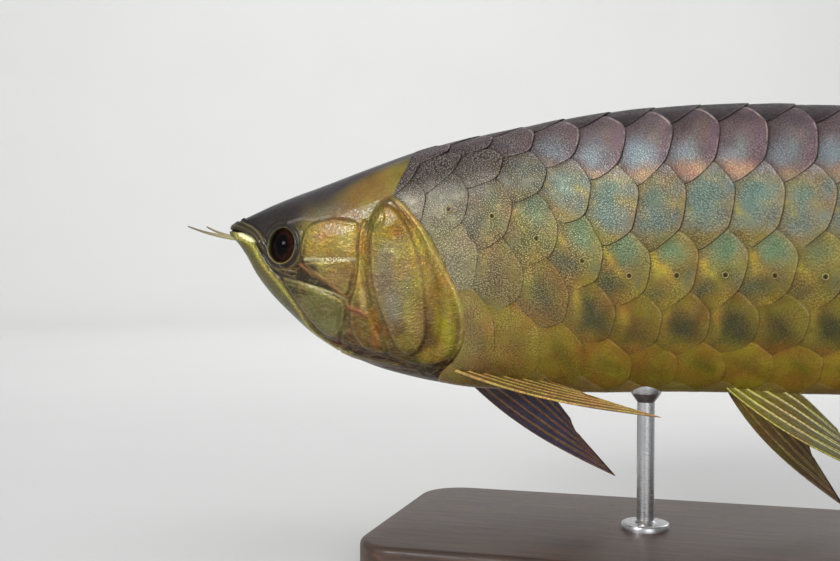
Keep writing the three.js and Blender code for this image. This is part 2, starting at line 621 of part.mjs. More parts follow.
// A barbel of the chin: a tapering feeler that points forward and curls up
function makeBarbel(side) {
  const steps = 6;
  const sides = 6;
  const path = new THREE.QuadraticBezierCurve3(
    new THREE.Vector3(BARBEL.s + 2, side * (BARBEL.y - 1), BARBEL.z - 1),
    new THREE.Vector3(BARBEL.s - BARBEL.length * 0.5, side * (BARBEL.y + BARBEL.out * 0.3), BARBEL.z),
    new THREE.Vector3(BARBEL.s - BARBEL.length, side * (BARBEL.y + BARBEL.out), BARBEL.z + BARBEL.rise),
  );
  const rings = path.getPoints(steps).map((centre, i) => {
    const radius = mix(BARBEL.rootRadius, BARBEL.tipRadius, i / steps);
    const tangent = path.getTangent(i / steps);
    const side1 = new THREE.Vector3(0, 0, 1).cross(tangent).normalize();
    const side2 = tangent.clone().cross(side1);
    return Array.from({ length: sides }, (_, j) => centre.clone()
      .addScaledVector(side1, radius * Math.cos((2 * Math.PI * j) / sides))
      .addScaledVector(side2, radius * Math.sin((2 * Math.PI * j) / sides)));
  });
  const feeler = loft(rings.reverse());
  const upright = feeler.volume() < 0 ? loft(rings.map((ring) => [...ring].reverse())) : feeler;
  return largest(upright.subtract(headSkin(LIP.lift + NODE_GAP)));
}

function makeEye(side) {
  const { axis, centre } = eyeFrame(side);
  return ball(EYE.radius, centre, axis);
}

// Stand
function makeStandBase() {
  const [halfLength, halfWidth] = [STAND.baseLength / 2 - STAND.bevel, STAND.baseWidth / 2 - STAND.bevel];
  const radius = STAND.cornerRadius;
  const outline = new THREE.Shape();
  outline.moveTo(-halfLength + radius, -halfWidth);
  outline.lineTo(halfLength - radius, -halfWidth);
  outline.absarc(halfLength - radius, -halfWidth + radius, radius, -Math.PI / 2, 0);
  outline.absarc(halfLength - radius, halfWidth - radius, radius, 0, Math.PI / 2);
  outline.absarc(-halfLength + radius, halfWidth - radius, radius, Math.PI / 2, Math.PI);
  outline.absarc(-halfLength + radius, -halfWidth + radius, radius, Math.PI, 1.5 * Math.PI);
  const slabShape = new THREE.ExtrudeGeometry(outline, {
    depth: STAND.baseHeight - 2 * STAND.bevel, bevelThickness: STAND.bevel, bevelSize: STAND.bevel,
    bevelSegments: 1, curveSegments: 5,
  });
  slabShape.translate(STAND.centre, 0, STAND.bevel - FLOOR_DROP);
  return solidOf(slabShape);
}

function makeStandRod(s) {
  const foot = -STAND.topBelowFish + NODE_GAP;
  const top = bellyAt(s) + STAND.rodReach;
  const belly = bellyAt(s) - STAND.saddleHeight;
  const profile = [[0, foot], [STAND.flangeRadius, foot], [STAND.flangeRadius, foot + STAND.flangeHeight - 1],
    [STAND.flangeRadius - 1, foot + STAND.flangeHeight], [STAND.rodRadius, foot + STAND.flangeHeight],
    [STAND.rodRadius, belly - 2], [STAND.saddleRadius, belly + 1], [STAND.saddleRadius, top], [0, top]];
  const lathe = new THREE.LatheGeometry(profile.map((p) => new THREE.Vector2(...p)), 14);
  lathe.rotateX(Math.PI / 2);
  lathe.translate(s, 0, 0);
  return largest(solidOf(lathe).subtract(clearOfBody));
}

// Colours, roughness and metalness of each finish
const FINISH = {
  skull: { color: 0x5d5a55, roughness: 0.45, metalness: 0.2 },
  jaw: { color: 0x9a9257, roughness: 0.4, metalness: 0.35 },
  gill: { color: 0xa8904f, roughness: 0.38, metalness: 0.4 },
  scales: { color: 0x8c8a5c, roughness: 0.36, metalness: 0.45 },
  tailScales: { color: 0x86814f, roughness: 0.38, metalness: 0.4 },
  darkFin: { color: 0x4a4346, roughness: 0.5, metalness: 0.1 },
  goldFin: { color: 0x8a7432, roughness: 0.5, metalness: 0.15 },
  eye: { color: 0x140a08, roughness: 0.08, metalness: 0 },
  barbel: { color: 0xc9bf86, roughness: 0.5, metalness: 0 },
  wood: { color: 0x2b211b, roughness: 0.45, metalness: 0 },
  steel: { color: 0xb9bcc0, roughness: 0.3, metalness: 1 },
};

// The tail's gentle bend to the right
const sweepAt = (s) => (s > SWEEP_START
  ? TAIL_SWEEP * ((s - SWEEP_START) / (STANDARD_LENGTH + TAIL_FIN_LENGTH - SWEEP_START)) ** 2
  : 0);

function meshOf(name, solid, finish, bent = true) {
  const made = solid.getMesh();
  const position = new Float32Array(made.numVert * 3);
  for (let i = 0; i < made.numVert; i++) {
    const [s, y, z] = made.vertProperties.subarray(i * made.numProp, i * made.numProp + 3);
    position.set([s, y + (bent ? sweepAt(s) : 0), z], i * 3);
  }
  const geometry = new THREE.BufferGeometry();
  geometry.setAttribute("position", new THREE.BufferAttribute(position, 3));
  geometry.setIndex(new THREE.BufferAttribute(new Uint32Array(made.triVerts), 1));
  geometry.computeVertexNormals();
  const mesh = new THREE.Mesh(geometry, new THREE.MeshStandardMaterial(FINISH[finish]));
  mesh.name = name;
  return mesh;
}

const fish = new THREE.Group();
fish.add(
  meshOf("head", makeHead(), "skull"),
  meshOf("lower_jaw", makeLowerJaw(), "jaw"),
  meshOf("gill_cover_left", makeGillCover(-1), "gill"),
  meshOf("gill_cover_right", makeGillCover(1), "gill"),
  meshOf("eye_left", makeEye(-1), "eye"),
  meshOf("eye_right", makeEye(1), "eye"),
  meshOf("barbel_left", makeBarbel(-1), "barbel"),
  meshOf("barbel_right", makeBarbel(1), "barbel"),
  meshOf("trunk", makeTrunk(), "scales"),
  meshOf("tail", makeTail(), "tailScales"),
  meshOf("dorsal_fin", makeDorsalFin(), "darkFin"),
  meshOf("anal_fin", makeAnalFin(), "goldFin"),
  meshOf("tail_fin", makeTailFin(), "darkFin"),
  meshOf("pectoral_fin_left", makeLeftPectoral(), "goldFin"),
  meshOf("pectoral_fin_right", makeRightPectoral(), "darkFin"),
  meshOf("pelvic_fin_left", makeLeftPelvic(), "goldFin"),
  meshOf("pelvic_fin_right", makeRightPelvic(), "darkFin"),
);

const stand = new THREE.Group();
stand.add(
  meshOf("stand_base", makeStandBase(), "wood", false),
  meshOf("stand_rod_front", makeStandRod(STAND.rodStations.front), "steel"),
  meshOf("stand_rod_rear", makeStandRod(STAND.rodStations.rear), "steel"),
);

// The part's origin is the middle of the base's underside
const arowana = new THREE.Group();
arowana.add(fish, stand);
arowana.position.set(-STAND.centre, 0, FLOOR_DROP);

export default arowana;
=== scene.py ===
"""Asian arowana, dressed as a life-size display model.

Shapes are worked out in the fish's own frame, in millimetres: s is the distance behind the snout, y is to
the fish's right, and z is the height above the level stretch of the lateral line. to_frame turns them into
metres in the shared frame. On the body, turn is 0 on the back and grows down the left side to pi at the keel.
"""
import logging
from contextlib import contextmanager
from dataclasses import dataclass
from enum import Enum
from typing import Callable, Iterator

import bpy
import numpy as np
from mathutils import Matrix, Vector


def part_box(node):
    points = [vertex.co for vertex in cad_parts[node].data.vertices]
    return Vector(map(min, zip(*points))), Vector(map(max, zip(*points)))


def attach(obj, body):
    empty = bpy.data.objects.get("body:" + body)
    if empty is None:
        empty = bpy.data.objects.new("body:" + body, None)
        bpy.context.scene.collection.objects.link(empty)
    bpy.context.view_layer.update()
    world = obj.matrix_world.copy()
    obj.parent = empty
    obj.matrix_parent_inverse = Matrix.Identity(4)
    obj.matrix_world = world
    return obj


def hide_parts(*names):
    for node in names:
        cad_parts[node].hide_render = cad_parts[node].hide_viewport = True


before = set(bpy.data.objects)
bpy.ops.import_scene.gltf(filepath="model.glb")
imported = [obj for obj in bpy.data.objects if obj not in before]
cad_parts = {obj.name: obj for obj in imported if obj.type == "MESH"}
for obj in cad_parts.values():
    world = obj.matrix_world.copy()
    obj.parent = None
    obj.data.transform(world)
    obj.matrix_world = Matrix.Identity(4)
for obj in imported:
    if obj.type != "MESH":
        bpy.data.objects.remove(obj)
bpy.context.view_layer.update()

LOG = logging.getLogger("arowana")
Array = np.ndarray
Table = tuple[tuple[float, float], ...]
Colour = tuple[int, int, int]
Place = tuple[float, float, float]
Cell = tuple[int, int]
Piece = bpy.types.Object
Material = bpy.types.Material
NodeTree = bpy.types.NodeTree
Node = bpy.types.Node
Socket = bpy.types.NodeSocket

# Places that the solids and the looks share, in millimetres
STAND_CENTRE = 235.0
FLOOR_DROP = 134.0
FISH_END = 572.0
SWEEP_START = 280.0
TAIL_SWEEP = 16.0
WEDGE_START = 490.3
WEDGE_END = 511.0
WEDGE_MIDDLE = 2.8
MILLI = 0.001
TAU = 2 * np.pi

# Body tables: value at each station s
BACK: Table = ((0, 18.6), (0.8, 20.4), (3, 22.4), (11, 26.3), (28, 33.1), (51, 40.7), (80, 50.6),
               (102, 57.4), (143, 65.4), (178, 70.9), (205, 73.4), (240, 74.4), (289, 72), (335, 66.5),
               (380, 56.5), (425, 42), (460, 28.5), (485, 22.5), (503, 21))
BELLY: Table = ((0, 18), (0.8, 16.6), (3, 14.6), (7, 10.4), (11, 4.9), (17, -5), (23.4, -12.6), (35.8, -24),
                (48, -33.6), (70, -45), (88, -50.1), (108, -53.8), (130, -56), (166, -56.5), (230, -54.3),
                (289, -53.4), (318, -51.5), (360, -43.5), (410, -31), (455, -20), (485, -16.8), (503, -16))
HALF_WIDTH: Table = ((0, 1.5), (0.8, 4), (3, 6.4), (7, 8.8), (12, 11), (20, 14.4), (28, 17.6), (38, 21),
                     (50, 24), (70, 26.2), (95, 27.4), (125, 28), (170, 28), (230, 27), (290, 24.6),
                     (350, 19.6), (400, 14.4), (450, 9), (485, 6), (503, 4.6))
WIDEST: Table = ((0, 0.5), (30, 0.52), (70, 0.5), (120, 0.45), (200, 0.42), (503, 0.46))
BACK_ROUNDNESS: Table = ((0, 2.1), (40, 2.5), (120, 2.5), (300, 2.3), (503, 2.1))
BELLY_ROUNDNESS: Table = ((0, 2.1), (40, 2.0), (90, 2.1), (130, 1.95), (300, 1.8), (503, 2))
WEDGE_THIN: Table = ((490.3, 1), (497.3, 0.72), (505.3, 0.36), (511, 0.15))
WEDGE_TALL: Table = ((490.3, 1), (497.3, 1.01), (505.3, 1.03), (511, 0.99))

# Rows of scales from the back to the keel, as shares of the depth
ROWS_AT_GILL = (0, 0.035, 0.1, 0.275, 0.5, 0.76, 1)
ROWS_ON_FLANK = (0, 0.14, 0.35, 0.575, 0.765, 0.905, 1)
ROWS_AT_TAIL = (0, 0.12, 0.31, 0.5, 0.69, 0.88, 1)
SCALE_ROWS = 6

# Outlines on the side of the head, as (s, z)
MOUTH_LINE: Table = ((-4, 19.2), (3, 18.9), (8, 18.4), (13, 17), (18, 14.2), (23, 8.4), (27, 3.2), (31, -1),
                     (35, -3.6), (40, -4.8), (47, -6.2), (57, -8.8), (66, -12), (69.6, -13.8))
DENTARY_EDGE: Table = ((8, 17.4), (14, 15.6), (18.9, 12.6), (23, 6.6), (27.7, 1), (35.8, -7.2), (43.8, -18),
                       (48.7, -28.4), (57.3, -35.1), (66, -38.4))
JAW_REAR: Table = ((66.6, -19), (65.6, -26), (63.5, -33), (58, -42), (52, -56))
NAPE_EDGE: Table = ((99, 84), (99, 62), (97.5, 48), (93.5, 37))
GILL_REAR: Table = ((92, 34), (97.5, 30.4), (104.5, 23.3), (111.6, 14), (117.8, 2.4), (123.2, -8.5),
                    (126, -17.5), (126.4, -26.6), (123.6, -35.6), (118.5, -42.4))
THROAT_EDGE: Table = ((112, -48), (105, -58), (100, -84))
GILL_FRONT: Table = ((109, -44.6), (97, -43), (89.5, -39.5), (85.4, -27), (81.6, -13), (79.6, 0),
                     (79.6, 12), (82, 23), (86.5, 30.5))
CHEEK_UPPER: Table = ((47, 13), (50.5, 20.5), (60, 23.4), (75, 22), (75.4, 12), (74.4, 5.8), (60, 6),
                      (47.6, 5.6))
CHEEK_LOWER: Table = ((48, 3.6), (60, 4), (73.4, 4.2), (71.6, -6), (68.6, -11.4), (60, -5.4), (52, -0.8))
PREOPERCLE: Table = ((80.4, 22.6), (77.9, 12), (77.8, 0), (79.8, -13), (83.6, -27), (87.4, -38),
                     (77, -37.4), (71.4, -29), (71.6, -16.4), (74.6, -8), (76.2, 2), (76.6, 14), (77.6, 21))
OPERCLE: Table = ((90, 29.5), (84.6, 22), (83, 11.8), (83.6, -2), (86, -13.7), (89.8, -25), (94, -36),
                  (100, -38.6), (106.6, -32), (108.4, -22), (107.6, -4), (104, 11.8), (98.5, 23))
MANDIBLE_PLATE: Table = ((36.4, -5.8), (46, -7.4), (56, -9.8), (66, -13.2), (69, -17), (66.8, -24.6),
                         (63.6, -30), (56.6, -31.8), (49.8, -26), (43.8, -17.6), (38.6, -10))


def clamp01(value: Array) -> Array:
    """Holds each value between 0 and 1."""
    return np.clip(value, 0, 1)


def ease(start: float, end: float, at: Array) -> Array:
    """Goes smoothly from 0 at start to 1 at end."""
    share = clamp01((np.asarray(at, float) - start) / (end - start))
    return share * share * (3 - 2 * share)


def mix(a: Array, b: Array, share: Array) -> Array:
    """Blends a into b by share."""
    return a + (b - a) * share


def signed_power(value: Array, power: Array) -> Array:
    """Raises the size of each value to a power and keeps its sign."""
    return np.sign(value) * np.abs(value) ** power


def hermite(x: Array, y: Array, at: Array) -> Array:
    """Follows a smooth curve through points that never overshoots them.

    Args:
        x: Places of the points, rising.
        y: Values there, one row for each point.
        at: Where to read the curve, shaped as one row of y.

    Returns:
        The curve's value at each place.
    """
    width = np.diff(x)
    wide = width.reshape(-1, *[1] * (y.ndim - 1))
    slope = np.diff(y, axis=0) / wide
    before, after = slope[:-1], slope[1:]
    same = before * after > 0
    inner = np.where(same, 2 * before * after / np.where(same, before + after, 1), 0)
    tangent = np.concatenate([slope[:1], inner, slope[-1:]])
    v = np.clip(at, x[0], x[-1])
    i = np.clip(np.searchsorted(x, v, side="right") - 1, 0, len(x) - 2)

    def own(rows: Array, index: Array) -> Array:
        """Takes each place's own row."""
        return rows[index] if rows.ndim == 1 else np.take_along_axis(rows, index[None], 0)[0]

    t = (v - x[i]) / width[i]
    return ((2 * t**3 - 3 * t**2 + 1) * own(y, i) + (t**3 - 2 * t**2 + t) * width[i] * own(tangent, i)
            + (3 * t**2 - 2 * t**3) * own(y, i + 1) + (t**3 - t**2) * width[i] * own(tangent, i + 1))


def along(table: Table, at: Array) -> Array:
    """Reads a table's smooth curve at each place."""
    x, y = np.array(table, float).T
    return hermite(x, y, np.asarray(at, float))


def spline(points: Table, steps: int, closed: bool = False) -> Array:
    """Draws a smooth outline through a few points.

    Args:
        points: The outline's points.
        steps: How many straight pieces stand in for the curve.
        closed: Whether the outline joins up with its start.

    Returns:
        The points of the smooth outline.
    """
    p = np.array(points, float)
    if closed:
        p = np.vstack([p, p[:1]])
    last = len(p) - 1
    place = np.linspace(0, last, steps + 1)
    i = np.minimum(place.astype(int), last - 1)
    t = (place - i)[:, None]
    before = p[np.where(i == 0, last - 1 if closed else 0, i - 1)]
    after = p[np.where(i + 2 > last, 1 if closed else last, i + 2)]
    here, following = p[i], p[i + 1]
    lead, tail = (following - before) / 2, (after - here) / 2
    drawn = ((2 * here - 2 * following + lead + tail) * t**3
             + (-3 * here + 3 * following - 2 * lead - tail) * t**2 + lead * t + here)
    return drawn[:-1] if closed else drawn


def line_distance(s: Array, z: Array, line: Array, closed: bool = False) -> tuple[Array, Array]:
    """Measures how far places on the side view are from a line.

    Args:
        s: Stations of the places.
        z: Heights of the places.
        line: The line's points.
        closed: Whether the last point joins up with the first.

    Returns:
        The distance, and on which side of the line's direction each place lies (-1 or 1).
    """
    ends = np.roll(line, -1, axis=0) if closed else line[1:]
    nearest = np.full(s.shape, np.inf)
    side = np.ones(s.shape)
    for (s0, z0), (s1, z1) in zip(line, ends):
        run, rise = s1 - s0, z1 - z0
        share = clamp01(((s - s0) * run + (z - z0) * rise) / (run * run + rise * rise))
        off_s, off_z = s - s0 - share * run, z - z0 - share * rise
        gap = np.hypot(off_s, off_z)
        closer = gap < nearest
        nearest = np.where(closer, gap, nearest)
        side = np.where(closer, np.sign(run * off_z - rise * off_s + 1e-12), side)
    return nearest, side


def inside_distance(s: Array, z: Array, outline: Array) -> Array:
    """Measures how far inside a closed outline each place lies. Outside it is negative.

    Args:
        s: Stations behind the snout.
        z: Heights.
        outline: The outline's points.

    Returns:
        The distances.
    """
    gap, _ = line_distance(s, z, outline, closed=True)
    within = np.zeros(s.shape, bool)
    for (s0, z0), (s1, z1) in zip(outline, np.roll(outline, -1, axis=0)):
        crosses = (z0 > z) != (z1 > z)
        reach = s0 + (z - z0) * (s1 - s0) / (z1 - z0 if z1 != z0 else 1)
        within ^= crosses & (s < reach)
    return np.where(within, gap, -gap)


def circle(count: int) -> Array:
    """Spreads turns evenly round a full circle."""
    return np.linspace(0, TAU, count, endpoint=False)


def bump(distance: Array, width: float) -> Array:
    """A round ridge: 1 on the line, fading out over the width."""
    return np.exp(-((distance / width) ** 2))


def sweep_at(s: Array) -> Array:
    """How far the tail's gentle bend takes each station to the right."""
    return TAIL_SWEEP * (np.maximum(s - SWEEP_START, 0) / (FISH_END - SWEEP_START)) ** 2


def to_frame(points: Array) -> Array:
    """Turns the fish's millimetres into metres in the shared frame, with the tail's bend.

    Args:
        points: Points in the fish's own frame.

    Returns:
        The same points, placed.
    """
    placed = np.array(points, float)
    placed[..., 1] += sweep_at(placed[..., 0])
    placed += np.array([-STAND_CENTRE, 0, FLOOR_DROP])
    return placed * MILLI


def tone(red: int, green: int, blue: int) -> tuple[float, float, float, float]:
    """Turns a screen colour of 0 to 255 into Blender's linear light.

    Args:
        red: How red it is.
        green: How green it is.
        blue: How blue it is.

    Returns:
        The linear colour, with an alpha of 1.
    """
    screen = np.array([red, green, blue]) / 255
    linear = np.where(screen <= 0.04045, screen / 12.92, ((screen + 0.055) / 1.055) ** 2.4)
    return (*linear.tolist(), 1.0)


def ink(colour: Colour) -> Array:
    """Turns a screen colour into linear paint."""
    return np.array(tone(*colour))


class Body:
    """The smooth body under the scales and the head's plates."""

    @staticmethod
    def section(s: Array) -> tuple[Array, Array, Array]:
        """Gives the height of the back, the widest line and the belly at each station."""
        top, bottom = along(BACK, s), along(BELLY, s)
        return top, top - along(WIDEST, s) * (top - bottom), bottom

    @classmethod
    def point(cls, s: Array, turn: Array) -> Array:
        """Finds points of the body.

        Args:
            s: Stations behind the snout.
            turn: Turns around the body.

        Returns:
            The points, in millimetres.
        """
        s, turn = np.broadcast_arrays(np.asarray(s, float), np.asarray(turn, float))
        ring = np.minimum(s, WEDGE_START)
        top, middle, bottom = cls.section(ring)
        upper = np.cos(turn) >= 0
        power = 2 / np.where(upper, along(BACK_ROUNDNESS, ring), along(BELLY_ROUNDNESS, ring))
        reach = np.where(upper, top - middle, middle - bottom)
        y = -along(HALF_WIDTH, ring) * signed_power(np.sin(turn), power) * along(WEDGE_THIN, s)
        z = middle + reach * signed_power(np.cos(turn), power)
        return np.stack([s, y, WEDGE_MIDDLE + (z - WEDGE_MIDDLE) * along(WEDGE_TALL, s)], -1)

    @classmethod
    def normal(cls, s: Array, turn: Array) -> Array:
        """Finds the direction that points straight out of the body.

        Args:
            s: Stations behind the snout.
            turn: Turns around the body.

        Returns:
            Directions of length 1.
        """
        ds, dt = 0.6, 0.03
        lengthways = cls.point(np.minimum(WEDGE_END, s + ds), turn) - cls.point(np.maximum(0, s - ds), turn)
        around = cls.point(s, turn + dt) - cls.point(s, turn - dt)
        out = np.cross(around, lengthways)
        return out / np.linalg.norm(out, axis=-1, keepdims=True)

    @classmethod
    def lifted(cls, s: Array, turn: Array, lift: Array) -> Array:
        """Finds points at a height above the body."""
        return cls.point(s, turn) + cls.normal(s, turn) * np.asarray(lift)[..., None]

    @classmethod
    def flat(cls, s: Array, turn: Array, shift: Array = 0.0) -> Array:
        """Unrolls the skin into a flat map in metres, stored as a colour.

        Args:
            s: Stations behind the snout.
            turn: Turns around the body.
            shift: A shift of the map, in millimetres.

        Returns:
            The station and the way round from the back at each place.
        """
        shares = np.linspace(0, 1, 13)
        s, turn, shift = np.broadcast_arrays(s, np.abs(turn), shift)
        ring = cls.point(s[..., None] + 0 * shares, turn[..., None] * shares)
        around = np.linalg.norm(np.diff(ring, axis=-2), axis=-1).sum(-1)
        return np.stack([s + shift, around, 0 * s, 0 * s + 1 / MILLI], -1) * MILLI

    @classmethod
    def turn_at(cls, s: Array, z: Array) -> Array:
        """Finds the turn at which the body has a given height.

        Args:
            s: Stations behind the snout.
            z: Heights.

        Returns:
            The turns on the left side.
        """
        top, middle, bottom = cls.section(s)
        upper = z >= middle
        roundness = np.where(upper, along(BACK_ROUNDNESS, s), along(BELLY_ROUNDNESS, s))
        share = (z - middle) / np.where(upper, top - middle, middle - bottom)
        return np.arccos(signed_power(np.clip(share, -1, 1), roundness / 2))

    @classmethod
    def depth(cls, s: Array, z: Array) -> Array:
        """Finds how far down the body a height is, from 0 on the back to 1 at the keel."""
        top, _, bottom = cls.section(s)
        return (top - z) / (top - bottom)

    @classmethod
    def half_width(cls, s: Array, z: Array) -> Array:
        """Finds how far the side is from the middle of the body at a given height."""
        return -cls.point(s, cls.turn_at(s, z))[..., 1]


class Lattice:
    """Where the rows and columns of scales run."""

    PITCH = 20.3
    LAST_PITCH = 9.5
    FIRST_COLUMN = 106.0
    TAPER_START = 290.0
    TAPER_RATE = (PITCH - LAST_PITCH) / (500 - TAPER_START)
    TAPER_COLUMN = (TAPER_START - FIRST_COLUMN) / PITCH
    LEAN = 0.5
    SETTLE = (118.0, 208.0, 300.0, 490.0)

    @staticmethod
    def column(number: Array, row: Array) -> Array:
        """Finds where a column runs in a row, as odd rows lie half a pitch further back."""
        return number + 0.5 * (row % 2)

    @classmethod
    def station(cls, column: Array) -> Array:
        """Finds how far behind the snout a column lies.

        Args:
            column: Columns, counted in pitches.

        Returns:
            The stations.
        """
        front = cls.FIRST_COLUMN + cls.PITCH * column
        behind = np.maximum(column - cls.TAPER_COLUMN, 0)
        rear = cls.TAPER_START + cls.PITCH / cls.TAPER_RATE * (1 - np.exp(-cls.TAPER_RATE * behind))
        return np.where(column <= cls.TAPER_COLUMN, front, rear)

    @classmethod
    def pitch(cls, s: Array) -> Array:
        """Finds the length of one column at each station."""
        return cls.PITCH - cls.TAPER_RATE * np.maximum(s - cls.TAPER_START, 0)

    @classmethod
    def row_turns(cls, s: Array) -> Array:
        """Finds the turn of each of the rows 0 to 6 at each station.

        Args:
            s: Stations behind the snout.

        Returns:
            The turns, one row of the result for each row of scales.
        """
        settle_from, settle_to, tail_from, tail_to = cls.SETTLE
        settled, tail = ease(settle_from, settle_to, s), ease(tail_from, tail_to, s)
        top, _, bottom = Body.section(s)
        shares = [mix(mix(a, b, settled), c, tail)
                  for a, b, c in zip(ROWS_AT_GILL, ROWS_ON_FLANK, ROWS_AT_TAIL)]
        return np.stack([Body.turn_at(s, mix(top, bottom, share)) for share in shares])

    @classmethod
    def turn(cls, s: Array, row: Array) -> Array:
        """Finds the turn of a row, with negative rows on the right side."""
        rows = np.arange(SCALE_ROWS + 1, dtype=float)
        return np.sign(row) * hermite(rows, cls.row_turns(s), np.abs(row))

    @classmethod
    def place(cls, column: Array, row: Array) -> tuple[Array, Array]:
        """Finds the station and the turn of a place in the lattice.

        Args:
            column: Columns, counted in pitches.
            row: Rows, which may run on past the keel.

        Returns:
            The stations and the turns.
        """
        rows = 2 * SCALE_ROWS
        row = np.where(row > SCALE_ROWS, row - rows, np.where(row <= -SCALE_ROWS, row + rows, row))
        s = np.minimum(cls.station(column + cls.LEAN * np.cos(np.pi * row / SCALE_ROWS)), WEDGE_END)
        return s, cls.turn(s, row)


HEAD_EDGE = np.vstack([NAPE_EDGE, spline(GILL_REAR, 60), THROAT_EDGE])


def head_edge(z: Array) -> Array:
    """Finds the station at which the head ends, at each height."""
    rising = HEAD_EDGE[::-1]
    return np.interp(z, rising[:, 1], rising[:, 0])


# Making meshes


@contextmanager
def editing(piece: Piece) -> Iterator[None]:
    """Opens one piece in edit mode and closes it again.

    Args:
        piece: The piece.

    Yields:
        Nothing, while the piece is open.
    """
    bpy.ops.object.select_all(action="DESELECT")
    piece.select_set(True)
    bpy.context.view_layer.objects.active = piece
    bpy.ops.object.mode_set(mode="EDIT")
    yield
    bpy.ops.object.mode_set(mode="OBJECT")


def fresh(operator: Callable, name: str, **settings: object) -> Piece:
    """Adds a primitive.

    Args:
        operator: The operator that adds it.
        name: The new object's name.
        **settings: The operator's settings.

    Returns:
        The new object, the only one selected.
    """
    bpy.ops.object.select_all(action="DESELECT")
    operator(**settings)
    piece = bpy.context.active_object
    piece.name = name
    piece.data.name = name
    return piece


def corners(piece: Piece) -> Array:
    """Reads the places of a mesh's corners.

    Args:
        piece: The piece.

    Returns:
        One row of x, y and z for each corner.
    """
    flat = np.empty(len(piece.data.vertices) * 3)
    piece.data.vertices.foreach_get("co", flat)
    return flat.reshape(-1, 3)


def mark(piece: Piece, name: str, values: Array) -> None:
    """Stores a number or a colour for each corner, for the material to read.

    Args:
        piece: The piece.
        name: The attribute's name.
        values: A number or a colour for each corner.
    """
    colour = values.ndim == 2
    layer = piece.data.attributes.new(name, "FLOAT_COLOR" if colour else "FLOAT", "POINT")
    layer.data.foreach_set("color" if colour else "value", values.astype(np.float32).ravel())


def pick(piece: Piece, wanted: Array) -> None:
    """Selects the wanted corners of a mesh, with the edges and faces between them, before edit mode.

    Args:
        piece: The piece.
        wanted: Whether each corner is selected.
    """
    mesh = piece.data
    mesh.vertices.foreach_set("select", wanted)
    for parts in (mesh.edges, mesh.polygons):
        chosen = [all(wanted[v] for v in part.vertices) for part in parts]
        parts.foreach_set("select", chosen)


def sheet(name: str, rings: Array, marks: dict[str, Array], closed_length: bool = False,
          unwrap: tuple[float, float, float, float] = (0, 0, 1, 1)) -> Piece:
    """Wraps a grid into a closed skin over rings of points.

    Args:
        name: The piece's name.
        rings: Points in millimetres, as [ring, place around it, xyz].
        marks: Values for each point, by attribute name.
        closed_length: Whether the last ring joins up with the first, as on a torus.
        unwrap: The part of the UV map that the grid fills, as low and high corners.

    Returns:
        The closed piece.
    """
    lengthways, around = rings.shape[:2]
    if closed_length:
        rings = np.concatenate([rings, rings[:1]])
        marks = {key: np.concatenate([value, value[:1]]) for key, value in marks.items()}
        lengthways += 1
    piece = fresh(bpy.ops.mesh.primitive_grid_add, name, x_subdivisions=lengthways - 1, y_subdivisions=around,
                  size=1)
    flat = corners(piece)
    i = np.rint((flat[:, 0] + 0.5) * (lengthways - 1)).astype(int)
    j = np.rint((flat[:, 1] + 0.5) * around).astype(int) % around
    piece.data.vertices.foreach_set("co", to_frame(rings[i, j]).ravel())
    for key, value in marks.items():
        mark(piece, key, value[i, j])
    layer = piece.data.uv_layers[0]
    layer.name = "OFBake"
    uv = np.empty(len(piece.data.loops) * 2)
    layer.data.foreach_get("uv", uv)
    low, high = np.array(unwrap[:2]), np.array(unwrap[2:])
    layer.data.foreach_set("uv", (low + uv.reshape(-1, 2) * (high - low)).ravel())
    with editing(piece):
        bpy.ops.mesh.select_all(action="SELECT")
        bpy.ops.mesh.remove_doubles(threshold=2e-6)
        bpy.ops.mesh.fill_holes(sides=0)
        bpy.ops.mesh.select_all(action="SELECT")
        bpy.ops.mesh.normals_make_consistent(inside=False)
    bpy.ops.object.shade_smooth()
    return piece


def joined(pieces: list[Piece]) -> Piece:
    """Joins pieces into one.

    Args:
        pieces: The pieces.

    Returns:
        The first of them, which now holds them all.
    """
    bpy.ops.object.select_all(action="DESELECT")
    for piece in pieces:
        piece.select_set(True)
    bpy.context.view_layer.objects.active = pieces[0]
    bpy.ops.object.join()
    return pieces[0]


def dress(piece: Piece, material: Material, replaced: tuple[str, ...] = ()) -> None:
    """Gives a piece its material, hangs it under the root, hides the nodes that it replaces and logs it.

    Args:
        piece: The finished piece.
        material: Its material.
        replaced: The nodes that the piece replaces.
    """
    piece.data.materials.clear()
    piece.data.materials.append(material)
    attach(piece, "root")
    if replaced:
        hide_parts(*replaced)
    faces = len(piece.data.polygons)
    LOG.info("%s: %d faces, replaces %s", piece.name, faces, ", ".join(replaced) or "nothing")


# Making materials


